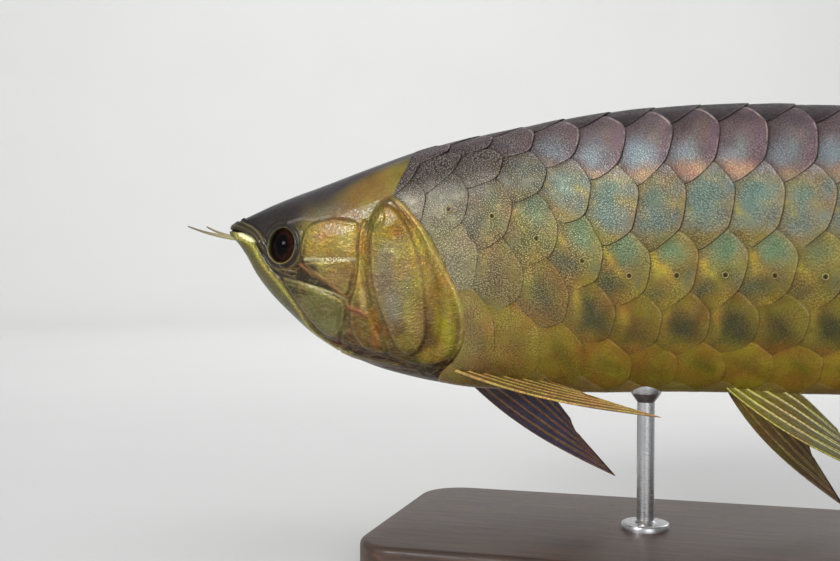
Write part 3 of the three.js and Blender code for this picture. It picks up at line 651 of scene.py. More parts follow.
class Shade:
    """Adds nodes to one tree and links them."""

    def __init__(self, tree: NodeTree) -> None:
        """Starts on a tree."""
        self.tree = tree

    def add(self, kind: str, inputs: dict[object, object] | None = None, **settings: object) -> Node:
        """Adds a node.

        Args:
            kind: The node's type.
            inputs: Values or sockets for its inputs, by name or number.
            **settings: The node's own settings.

        Returns:
            The node.
        """
        node = self.tree.nodes.new(kind)
        for key, value in settings.items():
            setattr(node, key, value)
        self.give(node, inputs or {})
        return node

    def give(self, node: Node, inputs: dict[object, object]) -> None:
        """Sets or links a node's inputs.

        Args:
            node: The node.
            inputs: Values or sockets for its inputs, by name or number.
        """
        for key, value in inputs.items():
            if isinstance(value, Socket):
                self.tree.links.new(value, node.inputs[key])
            else:
                node.inputs[key].default_value = value

    def read(self, name: str) -> Socket:
        """Reads a number that is stored on the piece."""
        return self.add("ShaderNodeAttribute", attribute_name=name).outputs["Fac"]

    def read_colour(self, name: str) -> Socket:
        """Reads a colour that is stored on the piece."""
        return self.add("ShaderNodeAttribute", attribute_name=name).outputs["Color"]

    def place(self) -> Socket:
        """Reads the place on the piece, in metres."""
        return self.add("ShaderNodeTexCoord").outputs["Object"]

    def link(self, value: Socket, node: Node, name: str) -> None:
        """Feeds one input of a node."""
        self.tree.links.new(value, node.inputs[name])

    def maths(self, operation: str, a: object, b: object = 0.0, clamp: bool = False) -> Socket:
        """Works out a sum of two numbers."""
        return self.add("ShaderNodeMath", {0: a, 1: b}, operation=operation, use_clamp=clamp).outputs[0]

    def times(self, a: object, b: object) -> Socket:
        """Multiplies two numbers."""
        return self.maths("MULTIPLY", a, b)

    def plus(self, a: object, b: object) -> Socket:
        """Adds two numbers."""
        return self.maths("ADD", a, b)

    def ridges(self, value: Socket, start: float) -> Socket:
        """Draws threads where a noise crosses its middle."""
        return self.ease(self.maths("PINGPONG", value, 0.5), start, 0.5)

    def stretched(self, at: Socket, scale: Place) -> Socket:
        """Scales the place, so that a pattern is drawn out along its smaller numbers."""
        return self.add("ShaderNodeMapping", {"Vector": at, "Scale": scale}).outputs["Vector"]

    def brighten(self, colour: Socket, value: Socket) -> Socket:
        """Multiplies a colour's brightness."""
        return self.add("ShaderNodeHueSaturation", {"Color": colour, "Value": value}).outputs["Color"]

    def ease(self, value: object, start: float, end: float, low: float = 0.0, high: float = 1.0) -> Socket:
        """Goes smoothly from low at start to high at end."""
        inputs = {"Value": value, "From Min": start, "From Max": end, "To Min": low, "To Max": high}
        return self.add("ShaderNodeMapRange", inputs, interpolation_type="SMOOTHSTEP").outputs["Result"]

    def noise(self, at: Socket, size: float, detail: float = 3.0, rough: float = 0.55) -> Socket:
        """Makes cloudy noise with blotches of a size in millimetres."""
        inputs = {"Vector": at, "Scale": 1 / (size * MILLI), "Detail": detail, "Roughness": rough}
        return self.add("ShaderNodeTexNoise", inputs).outputs["Fac"]

    def cells(self, at: Socket, size: float) -> Socket:
        """Makes distances from dots scattered over a flat map, a size in millimetres apart."""
        inputs = {"Vector": at, "Scale": 1 / (size * MILLI)}
        return self.add("ShaderNodeTexVoronoi", inputs, voronoi_dimensions="2D").outputs["Distance"]

    def blend(self, share: object, a: object, b: object, mode: str = "MIX") -> Socket:
        """Blends colour a into colour b."""
        node = self.add("ShaderNodeMix", {0: share, 6: a, 7: b}, data_type="RGBA", blend_type=mode)
        return node.outputs[2]

    def ramp(self, share: Socket, stops: list[tuple[float, tuple[float, ...]]]) -> Node:
        """Adds a colour ramp with its stops.

        Args:
            share: The place on the ramp.
            stops: Each stop's position and colour.

        Returns:
            The ramp's node.
        """
        node = self.add("ShaderNodeValToRGB", {"Fac": share})
        elements = node.color_ramp.elements
        while len(elements) < len(stops):
            elements.new(1.0)
        for element, (position, colour) in zip(elements, stops):
            element.position = position
            element.color = colour
        return node

    def group(self, tree: NodeTree, inputs: dict[str, object]) -> Node:
        """Places a shared group with its own values.

        Args:
            tree: The group.
            inputs: Values or sockets for its inputs, by name.

        Returns:
            The group's node.
        """
        node = self.add("ShaderNodeGroup", node_tree=tree)
        self.give(node, inputs)
        return node

    def relief(self, height: Socket, depth: float, normal: Socket | None = None) -> Socket:
        """Turns a height of 0 to 1 into a bump of a depth in millimetres.

        Args:
            height: The height.
            depth: How deep a height of 1 is.
            normal: A normal that the bump adds to, if there is one.

        Returns:
            The bump's normal.
        """
        inputs = {"Height": height, "Strength": 1.0, "Distance": depth * MILLI}
        if normal is not None:
            inputs["Normal"] = normal
        return self.add("ShaderNodeBump", inputs).outputs["Normal"]


def new_material(name: str, **shader: object) -> tuple[Material, Shade, Node]:
    """Starts a material.

    Args:
        name: Its name.
        **shader: Values for the shader's sockets, with _ for a space.

    Returns:
        The material, its node tree's shade, and the shader node.
    """
    material = bpy.data.materials.new(name)
    material.use_nodes = True
    principled = material.node_tree.nodes["Principled BSDF"]
    for key, value in shader.items():
        principled.inputs[key.replace("_", " ")].default_value = value
    return material, Shade(material.node_tree), principled


def new_group(name: str, inputs: dict[str, object], outputs: dict[str, str]) -> tuple[Shade, Socket, Socket]:
    """Starts a shared shader node group.

    Args:
        name: Its name.
        inputs: Its inputs, by name, with a number, a colour or None for a vector.
        outputs: Its outputs, by name, with the socket's kind.

    Returns:
        The group's shade, its inputs and its outputs.
    """
    tree = bpy.data.node_groups.new(name, "ShaderNodeTree")
    for key, value in inputs.items():
        kind = "Float" if isinstance(value, float) else "Color" if value is not None else "Vector"
        socket = tree.interface.new_socket(key, in_out="INPUT", socket_type=f"NodeSocket{kind}")
        if value is not None:
            socket.default_value = value
    for key, kind in outputs.items():
        tree.interface.new_socket(key, in_out="OUTPUT", socket_type=f"NodeSocket{kind}")
    shade = Shade(tree)
    return shade, shade.add("NodeGroupInput").outputs, shade.add("NodeGroupOutput").inputs


def mottle_group() -> NodeTree:
    """Makes the shared mottling: soft blotches, small flecks and a drift of hue over a colour.

    Returns:
        The group.
    """
    shade, given, out = new_group(
        "mottle", {"Vector": None, "Colour": (0.5, 0.5, 0.5, 1.0), "Amount": 0.2}, {"Colour": "Color"})
    wide = shade.noise(given["Vector"], 9, 3)
    fine = shade.noise(given["Vector"], 1.3, 4, 0.65)
    both = shade.plus(shade.times(wide, 0.65), shade.times(fine, 0.35))
    swing = shade.times(shade.maths("SUBTRACT", both, 0.5), given["Amount"])
    value = shade.plus(1.0, shade.times(swing, 3.0))
    hue = shade.ease(shade.noise(given["Vector"], 14, 2), 0.3, 0.7, 0.478, 0.522)
    varied = shade.add("ShaderNodeHueSaturation", {"Color": given["Colour"], "Value": value, "Hue": hue})
    shade.tree.links.new(varied.outputs["Color"], out["Colour"])
    return shade.tree


def granule_group() -> NodeTree:
    """Makes the shared granules: tiny grains set close, from -1 in the gaps to 1 on each grain's top.

    Returns:
        The group.
    """
    shade, given, out = new_group(
        "granules", {"Vector": None, "Flat": None, "Amount": 1.0}, {"Level": "Float"})
    grains = shade.ease(shade.cells(given["Flat"], 0.95), 0.12, 0.62, 1.0, -1.0)
    patchy = shade.ease(shade.noise(given["Vector"], 6, 3), 0.34, 0.56, 0.3, 1.0)
    level = shade.times(shade.times(grains, patchy), given["Amount"])
    shade.tree.links.new(level, out["Level"])
    return shade.tree


MOTTLE = mottle_group()
GRANULES = granule_group()


def mottled(shade: Shade, at: Socket, colour: Socket, amount: float) -> Socket:
    """Mottles a colour."""
    return shade.group(MOTTLE, {"Vector": at, "Colour": colour, "Amount": amount}).outputs["Colour"]


def granules(shade: Shade, at: Socket) -> Socket:
    """Makes the level of the grains, as strong as the piece's own grain says."""
    given = {"Vector": at, "Flat": shade.read_colour("flat"), "Amount": shade.read("grain")}
    return shade.group(GRANULES, given).outputs["Level"]


@dataclass(frozen=True)
class SkinFinish:
    """The head's skin: painted markings, pearly where it is gold, finely grained and a little wet."""

    roughness: float = 0.34
    coat: float = 0.14
    mottling: float = 0.42
    grain_depth: float = 0.24
    growth_lines: float = 1.25

    def material(self) -> Material:
        """Makes the material.

        Returns:
            The material.
        """
        material, shade, shader = new_material(
            "skin", Coat_Roughness=0.1, Roughness=self.roughness, Specular_IOR_Level=0.2)
        at = shade.place()
        paint = shade.read_colour("paint")
        colour = mottled(shade, at, paint, self.mottling)
        drawn = shade.stretched(at, (0.5, 1.0, 1.3))
        threads = shade.ridges(shade.noise(drawn, 3.6, 5, 0.6), 0.46)
        strokes = shade.times(threads, shade.times(shade.read("pearl"), 0.5))
        colour = shade.blend(strokes, colour, shade.blend(1.0, colour, tone(150, 130, 96), "SCREEN"))
        fine = shade.ease(shade.noise(at, 0.5, 4, 0.7), 0.3, 0.7, 0.82, 1.2)
        colour = shade.brighten(colour, fine)
        grains = granules(shade, at)
        # Painted light and shade on the grains: their tops lighter, the gaps between them darker.
        lit = shade.plus(1.0, shade.times(grains, 0.34))
        colour = shade.brighten(colour, lit)
        arc = shade.plus(shade.read("arc"), shade.times(shade.noise(at, 6, 2), 2.0))
        wave = shade.maths("SINE", shade.times(arc, TAU / self.growth_lines))
        lines = shade.times(wave, shade.read("growth"))
        colour = shade.blend(shade.maths("MULTIPLY", lines, 0.1, True), colour,
                             shade.blend(1.0, colour, tone(120, 100, 70), "MULTIPLY"))
        shade.link(colour, shader, "Base Color")
        shade.link(shade.read("pearl"), shader, "Metallic")
        wet = shade.ease(shade.noise(at, 1.2, 3, 0.6), 0.54, 0.62, self.coat, self.coat + 0.4)
        shade.link(wet, shader, "Coat Weight")
        crease = shade.ridges(shade.noise(at, 7, 4, 0.5), 0.4)
        height = shade.plus(shade.noise(at, 0.8, 4, 0.6), shade.times(grains, 0.6))
        height = shade.plus(height, shade.times(shade.noise(at, 3.2, 3), 1.6))
        height = shade.plus(height, shade.times(crease, shade.read("pearl")))
        height = shade.plus(height, shade.times(lines, 0.14))
        height = shade.plus(height, shade.times(strokes, 1.5))
        shade.link(shade.relief(height, self.grain_depth), shader, "Normal")
        return material


@dataclass(frozen=True)
class ScaleFinish:
    """The scales: painted patches under pearly grains with painted glints, a painted shadow on each margin
    with a painted highlight inside it, and painted shade behind the scales that lie over each one.
    """

    roughness: float = 0.42
    metal: float = 0.5
    coat: float = 0.1
    mottling: float = 0.4
    grain_depth: float = 0.16
    ray_count: int = 84

    def material(self) -> Material:
        """Makes the material.

        Returns:
            The material.
        """
        material, shade, shader = new_material(
            "scales", Metallic=self.metal, Coat_Weight=self.coat, Coat_Roughness=0.2, Specular_IOR_Level=0.25)
        at = shade.place()
        paint, rim, chance = shade.read_colour("paint"), shade.read("rim"), shade.read("chance")
        swing = shade.ease(chance, 0.0, 1.0, 0.9, 1.1)
        colour = shade.brighten(paint, swing)
        colour = mottled(shade, at, colour, self.mottling)
        grains = granules(shade, at)
        # Painted light and shade on the grains: their tops lighter, the gaps between them darker.
        lit = shade.plus(1.0, shade.times(grains, 0.36))
        colour = shade.brighten(colour, lit)
        # Painted glints: the tops of the grains are blended towards near white.
        shine = shade.times(shade.maths("MAXIMUM", grains, 0.0), 0.22)
        colour = shade.blend(shine, colour, tone(206, 206, 190))
        ragged = shade.plus(rim, shade.times(shade.noise(at, 1.8, 3), 0.012))
        # Painted highlight: a pale, broken line just inside each scale's margin.
        pale = shade.times(shade.ease(ragged, 0.925, 0.962), shade.ease(ragged, 0.968, 0.984, 1.0, 0.0))
        broken = shade.ease(shade.noise(at, 4.5, 3), 0.38, 0.6)
        pale = shade.times(shade.times(pale, broken), shade.read("margin_highlight"))
        colour = shade.blend(pale, colour, tone(214, 198, 184))
        # Painted shadow: a thin dark line on each scale's margin.
        dark = shade.times(shade.ease(ragged, 0.978, 0.994), shade.read("margin_shadow"))
        colour = shade.blend(dark, colour, tone(48, 40, 32))
        colour = shade.blend(shade.times(shade.read("shade"), 0.75), colour,
                             shade.blend(1.0, colour, tone(110, 96, 80), "MULTIPLY"))
        # Painted shade: a dark disc that stands for the opening of each pore of the lateral line.
        colour = shade.blend(shade.read("pore"), colour, tone(30, 24, 16))
        shade.link(colour, shader, "Base Color")
        rays = shade.maths("SINE", shade.times(shade.read("fan"), float(self.ray_count)))
        rays = shade.times(rays, shade.ease(rim, 0.5, 0.85, 0.0, 0.05))
        height = shade.plus(shade.noise(at, 1.1, 4, 0.6), shade.times(grains, 0.7))
        height = shade.plus(height, rays)
        shade.link(shade.relief(height, self.grain_depth), shader, "Normal")
        rough = shade.ease(shade.noise(at, 2.2, 3), 0.3, 0.7, self.roughness - 0.07, self.roughness + 0.12)
        shade.link(rough, shader, "Roughness")
        return material


@dataclass(frozen=True)
class FinFinish:
    """A fin: a thin membrane and segmented rays, each darker or paler towards the edge."""

    name: str
    membrane_root: Colour
    membrane_edge: Colour
    ray_root: Colour
    ray_edge: Colour
    segment: float = 2.2

    def material(self) -> Material:
        """Makes the material.

        Returns:
            The material.
        """
        material, shade, shader = new_material(f"fin_{self.name}", Roughness=0.42, Coat_Weight=0.2,
                                               Coat_Roughness=0.2, Metallic=0.1)
        at = shade.place()
        share, ray, out = shade.read("share"), shade.read("ray"), shade.read("out")
        patchy = shade.plus(share, shade.times(shade.noise(at, 9, 3), 0.5))
        reach = shade.ease(patchy, 0.2, 1.2)
        skin = shade.blend(reach, tone(*self.membrane_root), tone(*self.membrane_edge))
        bone = shade.blend(reach, tone(*self.ray_root), tone(*self.ray_edge))
        colour = shade.blend(shade.ease(ray, 0.25, 0.6), skin, bone)
        step = shade.maths("FRACT", shade.maths("DIVIDE", out, self.segment))
        joint = shade.times(shade.ease(shade.maths("PINGPONG", step, 0.5), 0.0, 0.12, 1.0, 0.0),
                            shade.times(shade.ease(share, 0.18, 0.4), shade.ease(ray, 0.3, 0.6)))
        colour = shade.blend(shade.times(joint, 0.55), colour, tone(48, 36, 26))
        threads = shade.ease(shade.noise(shade.read_colour("lane"), 0.16, 3, 0.6), 0.32, 0.68, 0.72, 1.3)
        colour = shade.brighten(colour, threads)
        colour = mottled(shade, at, colour, 0.35)
        shade.link(colour, shader, "Base Color")
        height = shade.maths("SUBTRACT", shade.noise(at, 0.9, 4, 0.6), shade.times(joint, 0.8))
        height = shade.plus(height, threads)
        shade.link(shade.relief(height, 0.14), shader, "Normal")
        return material


@dataclass(frozen=True)
class EyeFinish:
    """A wet eye: black pupil, dark red iris, and a thin gold ring near its edge."""

    pupil: float = 4.6

    def material(self) -> Material:
        """Makes the material.

        Returns:
            The material.
        """
        material, shade, shader = new_material(
            "eye", Roughness=0.6, Specular_IOR_Level=0.02, Coat_Weight=0.1, Coat_Roughness=0.03)
        at, reach = shade.place(), shade.read("reach")
        ragged = shade.plus(reach, shade.times(shade.noise(at, 1.6, 3), 0.8))
        stops = [(0.0, tone(2, 1, 2)), (0.5, tone(4, 2, 3)), (0.6, tone(18, 6, 5)), (0.7, tone(36, 11, 8)),
                 (0.78, tone(22, 9, 7)), (0.82, tone(62, 48, 22)), (0.855, tone(92, 78, 38)),
                 (0.89, tone(34, 26, 15)), (1.0, tone(18, 14, 11))]
        colour = shade.ramp(shade.maths("DIVIDE", ragged, 10.0), stops).outputs["Color"]
        fleck = shade.ease(shade.noise(at, 0.7, 3), 0.45, 0.75, 0.0, 0.16)
        ring = shade.times(fleck, shade.ease(reach, self.pupil, self.pupil + 1.5))
        colour = shade.blend(ring, colour, tone(112, 66, 40))
        shade.link(colour, shader, "Base Color")
        return material


@dataclass(frozen=True)
class BarbelFinish:
    """A feeler: pale, soft skin that is darker towards the tip."""

    def material(self) -> Material:
        """Makes the material.

        Returns:
            The material.
        """
        material, shade, shader = new_material("barbel", Roughness=0.4, Coat_Weight=0.3, Coat_Roughness=0.15)
        at = shade.place()
        reach = shade.ease(shade.read("share"), 0.0, 1.0)
        colour = shade.blend(reach, tone(164, 150, 104), tone(110, 98, 76))
        colour = mottled(shade, at, colour, 0.3)
        shade.link(colour, shader, "Base Color")
        shade.link(shade.relief(shade.noise(at, 0.6, 3), 0.08), shader, "Normal")
        return material


@dataclass(frozen=True)
class WoodFinish:
    """Dark stained hardwood, with grain along the base."""

    def material(self) -> Material:
        """Makes the material.

        Returns:
            The material.
        """
        material, shade, shader = new_material(
            "stand_wood", Roughness=0.5, Coat_Weight=0.12, Coat_Roughness=0.25)
        at = shade.place()
        stretched = shade.stretched(at, (0.07, 1.0, 1.0))
        grain = shade.noise(stretched, 3.2, 5, 0.6)
        pores = shade.noise(stretched, 0.55, 3, 0.7)
        stops = [(0.3, tone(34, 22, 16)), (0.5, tone(62, 41, 28)), (0.7, tone(84, 57, 38))]
        colour = shade.ramp(grain, stops)
        dark = shade.ease(pores, 0.56, 0.68, 0.0, 0.6)
        colour = shade.blend(dark, colour.outputs["Color"], tone(24, 15, 11))
        shade.link(colour, shader, "Base Color")
        shade.link(shade.relief(shade.maths("SUBTRACT", grain, dark), 0.1), shader, "Normal")
        return material


@dataclass(frozen=True)
class SteelFinish:
    """Brushed steel, with fine lines around the rod."""

    def material(self) -> Material:
        """Makes the material.

        Returns:
            The material.
        """
        material, shade, shader = new_material("stand_steel", Metallic=1.0)
        at = shade.place()
        squashed = shade.stretched(at, (0.08, 0.08, 1.0))
        lines = shade.noise(squashed, 0.35, 3, 0.7)
        colour = shade.blend(lines, tone(168, 168, 170), tone(202, 202, 204))
        shade.link(colour, shader, "Base Color")
        shade.link(shade.ease(lines, 0.3, 0.7, 0.24, 0.4), shader, "Roughness")
        shade.link(shade.relief(lines, 0.02), shader, "Normal")
        return material


# The head's sculpting and painting


@dataclass(frozen=True)
class Plate:
    """A bone under the skin: its outline, how far it stands out, how soft its edge is, and its dome."""

    outline: Table
    lift: float
    soft: float = 0.9
    dome: float = 0.3


@dataclass(frozen=True)
class Fold:
    """A ridge (or a groove, with a height below 0) along a line on the side of the head, with its paint."""

    line: Table
    height: float
    width: float
    colour: Colour
    strength: float


@dataclass(frozen=True)
class Dab:
    """A soft dab of paint on the side of the head: middle, half sizes, slope and colour."""

    middle: tuple[float, float]
    half: tuple[float, float]
    slope: float
    colour: Colour
    strength: float


# Soft patches on each row's scales, from the back to the keel, in pitches and rows from the scale's middle
BACK_ROW = (
    Dab((0.45, 0.0), (0.14, 0.45), 0, (70, 48, 58), 0.5),
    Dab((0.0, 0.5), (0.4, 0.16), 0, (36, 23, 28), 0.5),
    Dab((-0.1, 0.0), (0.3, 0.3), 0, (51, 40, 39), 0.5),
)
SECOND_ROW = (
    Dab((0.0, -0.45), (0.6, 0.26), 0, (59, 42, 48), 0.9),
    Dab((0.08, 0.04), (0.4, 0.26), 0, (112, 106, 110), 0.75),
    Dab((0.22, -0.1), (0.2, 0.2), 0.4, (122, 98, 84), 0.5),
    Dab((-0.1, 0.22), (0.38, 0.22), 0.2, (116, 127, 132), 0.9),
    Dab((0.02, 0.14), (0.12, 0.12), 0.2, (120, 128, 124), 0.6),
    Dab((0.08, 0.54), (0.5, 0.14), 0, (156, 126, 98), 0.85),
    Dab((-0.05, 0.6), (0.14, 0.08), 0, (126, 128, 116), 0.6),
    Dab((0.47, -0.05), (0.1, 0.36), 0, (118, 92, 103), 0.6),
)
THIRD_ROW = (
    Dab((0.05, -0.6), (0.5, 0.14), 0, (136, 126, 126), 0.85),
    Dab((-0.02, -0.08), (0.46, 0.4), 0, (102, 117, 106), 1.0),
    Dab((-0.05, -0.12), (0.2, 0.2), 0, (86, 110, 98), 0.6),
    Dab((-0.02, 0.26), (0.36, 0.16), 0, (94, 110, 102), 0.8),
    Dab((0.42, -0.27), (0.12, 0.15), 0, (98, 112, 112), 0.65),
    Dab((0.0, -0.45), (0.26, 0.05), 0.5, (171, 152, 112), 0.5),
    Dab((0.36, -0.02), (0.24, 0.06), 0.2, (146, 132, 72), 0.55),
    Dab((0.42, 0.16), (0.11, 0.14), 0, (96, 106, 102), 0.7),
    Dab((-0.34, 0.04), (0.22, 0.05), 0.5, (156, 138, 66), 0.6),
    Dab((0.1, 0.54), (0.65, 0.15), 0, (120, 108, 50), 0.95),
    Dab((-0.3, 0.5), (0.16, 0.12), 0, (118, 105, 58), 0.5),
)
FOURTH_ROW = (
    Dab((0.35, -0.4), (0.26, 0.3), 0, (136, 116, 64), 0.7),
    Dab((-0.02, -0.36), (0.34, 0.27), 0.2, (98, 114, 82), 0.95),
    Dab((-0.24, -0.07), (0.32, 0.07), 0.62, (164, 140, 52), 0.95),
    Dab((-0.16, 0.3), (0.32, 0.22), 0, (76, 76, 48), 1.0),
    Dab((0.42, 0.14), (0.12, 0.15), 0, (91, 96, 71), 0.6),
    Dab((0.3, 0.52), (0.42, 0.18), 0, (132, 109, 30), 0.9),
    Dab((0.2, 0.05), (0.14, 0.09), 0, (84, 73, 33), 0.7),
)
FIFTH_ROW = (
    Dab((0.04, 0.0), (0.44, 0.3), 0.35, (68, 62, 36), 0.95),
    Dab((-0.1, 0.28), (0.22, 0.15), 0, (89, 82, 33), 0.6),
    Dab((0.1, 0.55), (0.5, 0.16), 0, (128, 98, 30), 0.8),
    Dab((-0.3, -0.25), (0.1, 0.34), 0.8, (154, 126, 46), 0.8),
    Dab((0.2, -0.3), (0.05, 0.24), -1.6, (116, 106, 56), 0.5),
)
SIXTH_ROW = (
    Dab((0.0, -0.4), (0.5, 0.22), 0, (136, 112, 26), 0.5),
    Dab((0.1, 0.0), (0.34, 0.16), 0.4, (112, 97, 28), 0.7),
    Dab((0.42, 0.0), (0.08, 0.4), 0, (160, 130, 44), 0.5),
)


@dataclass(frozen=True)
class Row:
    """One row of scales: its colour, its patches, the strength of the painted shadow and the painted
    highlight along its margins, and how strongly its grains show.
    """

    base: Colour
    patches: tuple[Dab, ...]
    margin_shadow: float
    margin_highlight: float
    grain: float
    step: float


ROWS = (
    Row((41, 30, 32), BACK_ROW, 0.5, 0.2, 0.15, 0.58),
    Row((100, 79, 80), SECOND_ROW, 0.75, 0.4, 0.5, 0.7),
    Row((128, 110, 72), THIRD_ROW, 0.75, 0.2, 0.8, 0.62),
    Row((128, 107, 45), FOURTH_ROW, 0.5, 0.14, 0.7, 0.48),
    Row((125, 102, 36), FIFTH_ROW, 0.22, 0.12, 0.4, 0.3),
    Row((146, 117, 36), SIXTH_ROW, 0.12, 0.1, 0.3, 0.22),
    Row((150, 126, 64), (), 0.1, 0.08, 0.25, 0.22),
)

GILL_COVER = np.vstack([spline(GILL_REAR, 40), spline(GILL_FRONT, 40)])
OPERCLE_PLATE = Plate(OPERCLE, 0.8, 1.0, 0.7)
PLATES = (
    Plate(CHEEK_UPPER, 0.75),
    Plate(CHEEK_LOWER, 0.7),
    Plate(PREOPERCLE, 0.8, 1.0),
    OPERCLE_PLATE,
    Plate(MANDIBLE_PLATE, 0.8, 1.0, 0.8),
)
FOLDS = (
    Fold(((48.6, 4.9), (54, 5.2), (60, 5.1), (67, 4.9), (74.6, 5.2)), 0.42, 0.5, (226, 210, 168), 0.75),
    Fold(((46.6, 2.2), (51.2, -1), (57.5, -3.8), (62.6, -7.5), (67.2, -10.4), (69.8, -12.8)), 0.5, 0.7,
         (161, 110, 69), 0.7),
    Fold(((36, -4), (43.1, -5.6), (53.1, -8.2), (60.4, -10), (66.6, -12), (69.4, -13.8)), 0.5, 0.6,
         (161, 146, 98), 0.7),
    Fold(((62.2, 23.4), (66.4, 22.6), (70.6, 21.8), (74.8, 21.6)), 0.25, 0.5, (169, 144, 82), 0.6),
    Fold(((75.9, 19), (76.1, 10.4), (75.7, 1.1), (74.2, -4.5), (71.8, -10.2), (70, -14)), -0.5, 0.7,
         (97, 72, 36), 0.5),
    Fold(((81, 20), (80.9, 14), (80.6, 4.8), (80.6, -4.4), (81.8, -11.9), (84.4, -20)), -0.5, 0.8,
         (92, 71, 28), 0.5),
    Fold(((70.3, -16.8), (74.3, -18.1), (80.2, -20.4)), 0.5, 0.7, (164, 102, 69), 0.8),
    Fold(((71, -18.8), (74.6, -20), (79.6, -22)), -0.4, 0.6, (113, 57, 33), 0.8),
    Fold(((71.6, -24.8), (75.8, -23.6), (81.5, -27), (84.8, -32.7)), 0.22, 0.5, (156, 123, 82), 0.4),
    Fold(((71.4, -27.6), (75.6, -26.6), (80, -29.6), (82.8, -34.6)), -0.2, 0.5, (98, 72, 41), 0.35),
    Fold(((93.1, 32.6), (99.4, 26), (105.5, 17.7), (111.3, 5), (115.2, -9.6), (115.8, -22.5), (112.6, -35)),
         -0.45, 0.9, (105, 80, 31), 0.5),
    Fold(((95.6, 33.6), (102.4, 26.6), (108.5, 17.6), (114, 5), (118.6, -8), (120, -20), (118, -34)),
         0.3, 1.3, (161, 136, 69), 0.4),
    Fold(((90.6, 9.4), (93.9, 8.8), (96.4, 6)), 0.25, 0.6, (175, 156, 107), 0.7),
    Fold(((57.9, -35), (67.9, -37.4), (77.1, -40), (86.5, -41), (96, -43.4)), -0.5, 0.8, (75, 41, 23), 0.75),
    Fold(((60, -39.4), (70, -41.6), (80, -43.4), (92, -45)), 0.25, 0.7, (144, 115, 51), 0.5),
    Fold(((66, -43.6), (76, -45.6), (88, -47), (100, -48)), -0.3, 0.7, (92, 66, 33), 0.5),
    Fold(((48.7, -27), (52.5, -31.6), (57.3, -35.1), (64, -36.6)), -0.35, 0.8, (90, 59, 31), 0.5),
    Fold(((86.5, 30.8), (88.8, 25), (87, 20), (83, 18)), -0.3, 0.8, (98, 90, 33), 0.5),
    Fold(((38, 22.4), (46, 24.4), (54, 24), (60, 25.4)), 0.2, 0.6, (123, 115, 108), 0.5),
)
DABS = (
    Dab((4, 22), (10, 6), 0, (38, 34, 37), 0.9),
    Dab((16, 25), (13, 7), 0.3, (30, 27, 29), 0.9),
    Dab((22, 16), (8, 9), -0.6, (33, 27, 22), 0.9),
    Dab((32, 24), (15, 6.5), 0.25, (37, 32, 34), 0.9),
    Dab((36, 12), (13.5, 14), 0, (27, 20, 15), 0.95),
    Dab((33, 0), (11, 6), -0.5, (25, 17, 10), 0.9),
    Dab((44, 1.4), (7, 5), -0.5, (39, 25, 15), 0.85),
    Dab((61, 14), (15, 10.5), 0, (137, 108, 49), 0.85),
    Dab((55, 17), (5, 4.4), 0.2, (136, 102, 77), 0.6),
    Dab((60, 19.6), (12, 2.4), 0.1, (139, 116, 42), 0.5),
    Dab((70, 14), (4, 7), 0, (157, 135, 78), 0.6),
    Dab((51, 14), (3, 8), 0, (119, 99, 36), 0.6),
    Dab((45.8, 9), (3.6, 10), 0, (52, 44, 16), 0.85),
    Dab((45, -0.5), (6, 5), -0.4, (32, 21, 12), 0.8),
    Dab((61, -0.4), (13, 4.4), -0.25, (116, 98, 49), 0.85),
    Dab((66, -5), (5, 4), -0.3, (151, 129, 70), 0.5),
    Dab((51.5, 1.6), (5, 3), -0.5, (48, 29, 17), 0.95),
    Dab((47, -1.8), (6, 2.2), -0.5, (58, 38, 18), 0.8),
    Dab((56, -19), (14, 12), -0.3, (99, 94, 53), 0.9),
    Dab((61, -26), (6, 5), 0, (119, 117, 69), 0.55),
    Dab((46, -9.4), (8, 3.4), -0.35, (64, 61, 24), 0.6),
    Dab((52, -15), (5, 5), 0, (102, 95, 51), 0.5),
    Dab((77, 6), (3.4, 18), 0.05, (156, 125, 44), 0.8),
    Dab((78.4, -13), (1.8, 5.4), 0.2, (180, 144, 93), 0.75),
    Dab((82.8, -26), (3, 10), 0.4, (152, 89, 22), 0.75),
    Dab((75, -30), (6, 6), 0, (112, 89, 38), 0.85),
    Dab((70, -33), (4, 3), 0, (83, 58, 23), 0.6),
    Dab((74, -41), (18, 4.4), -0.16, (36, 17, 6), 0.9),
    Dab((94, -4), (10, 22), 0, (133, 118, 79), 0.85),
    Dab((90, 0), (4.6, 12), 0.1, (111, 101, 76), 0.8),
    Dab((93.6, -16), (4.4, 8), 0, (125, 119, 101), 0.7),
    Dab((98, 4), (4, 9), 0, (141, 121, 58), 0.5),
    Dab((103, -22), (4.6, 12), 0, (152, 133, 68), 0.75),
    Dab((99, -32), (6, 4), 0, (138, 116, 52), 0.7),
    Dab((88, -30), (3, 6), 0.3, (116, 85, 25), 0.6),
    Dab((92, 22), (8, 8), 0, (129, 98, 23), 0.85),
    Dab((84, 20.6), (4, 3.4), 0, (88, 84, 26), 0.65),
    Dab((108, 8), (6, 22), -0.6, (148, 124, 52), 0.85),
    Dab((118, -14), (6, 18), -0.3, (132, 108, 27), 0.85),
    Dab((117, -29), (5, 8), 0, (153, 139, 20), 0.7),
    Dab((111, -38), (8, 4), 0.3, (159, 140, 43), 0.7),
    Dab((88, 41), (24, 8), 0.34, (124, 102, 36), 0.85),
    Dab((106, 49), (8, 7), 0.4, (104, 84, 52), 0.7),
    Dab((74, 30), (16, 6), 0.4, (111, 84, 23), 0.65),
    Dab((60, 27), (10, 4), 0.3, (87, 83, 64), 0.6),
)


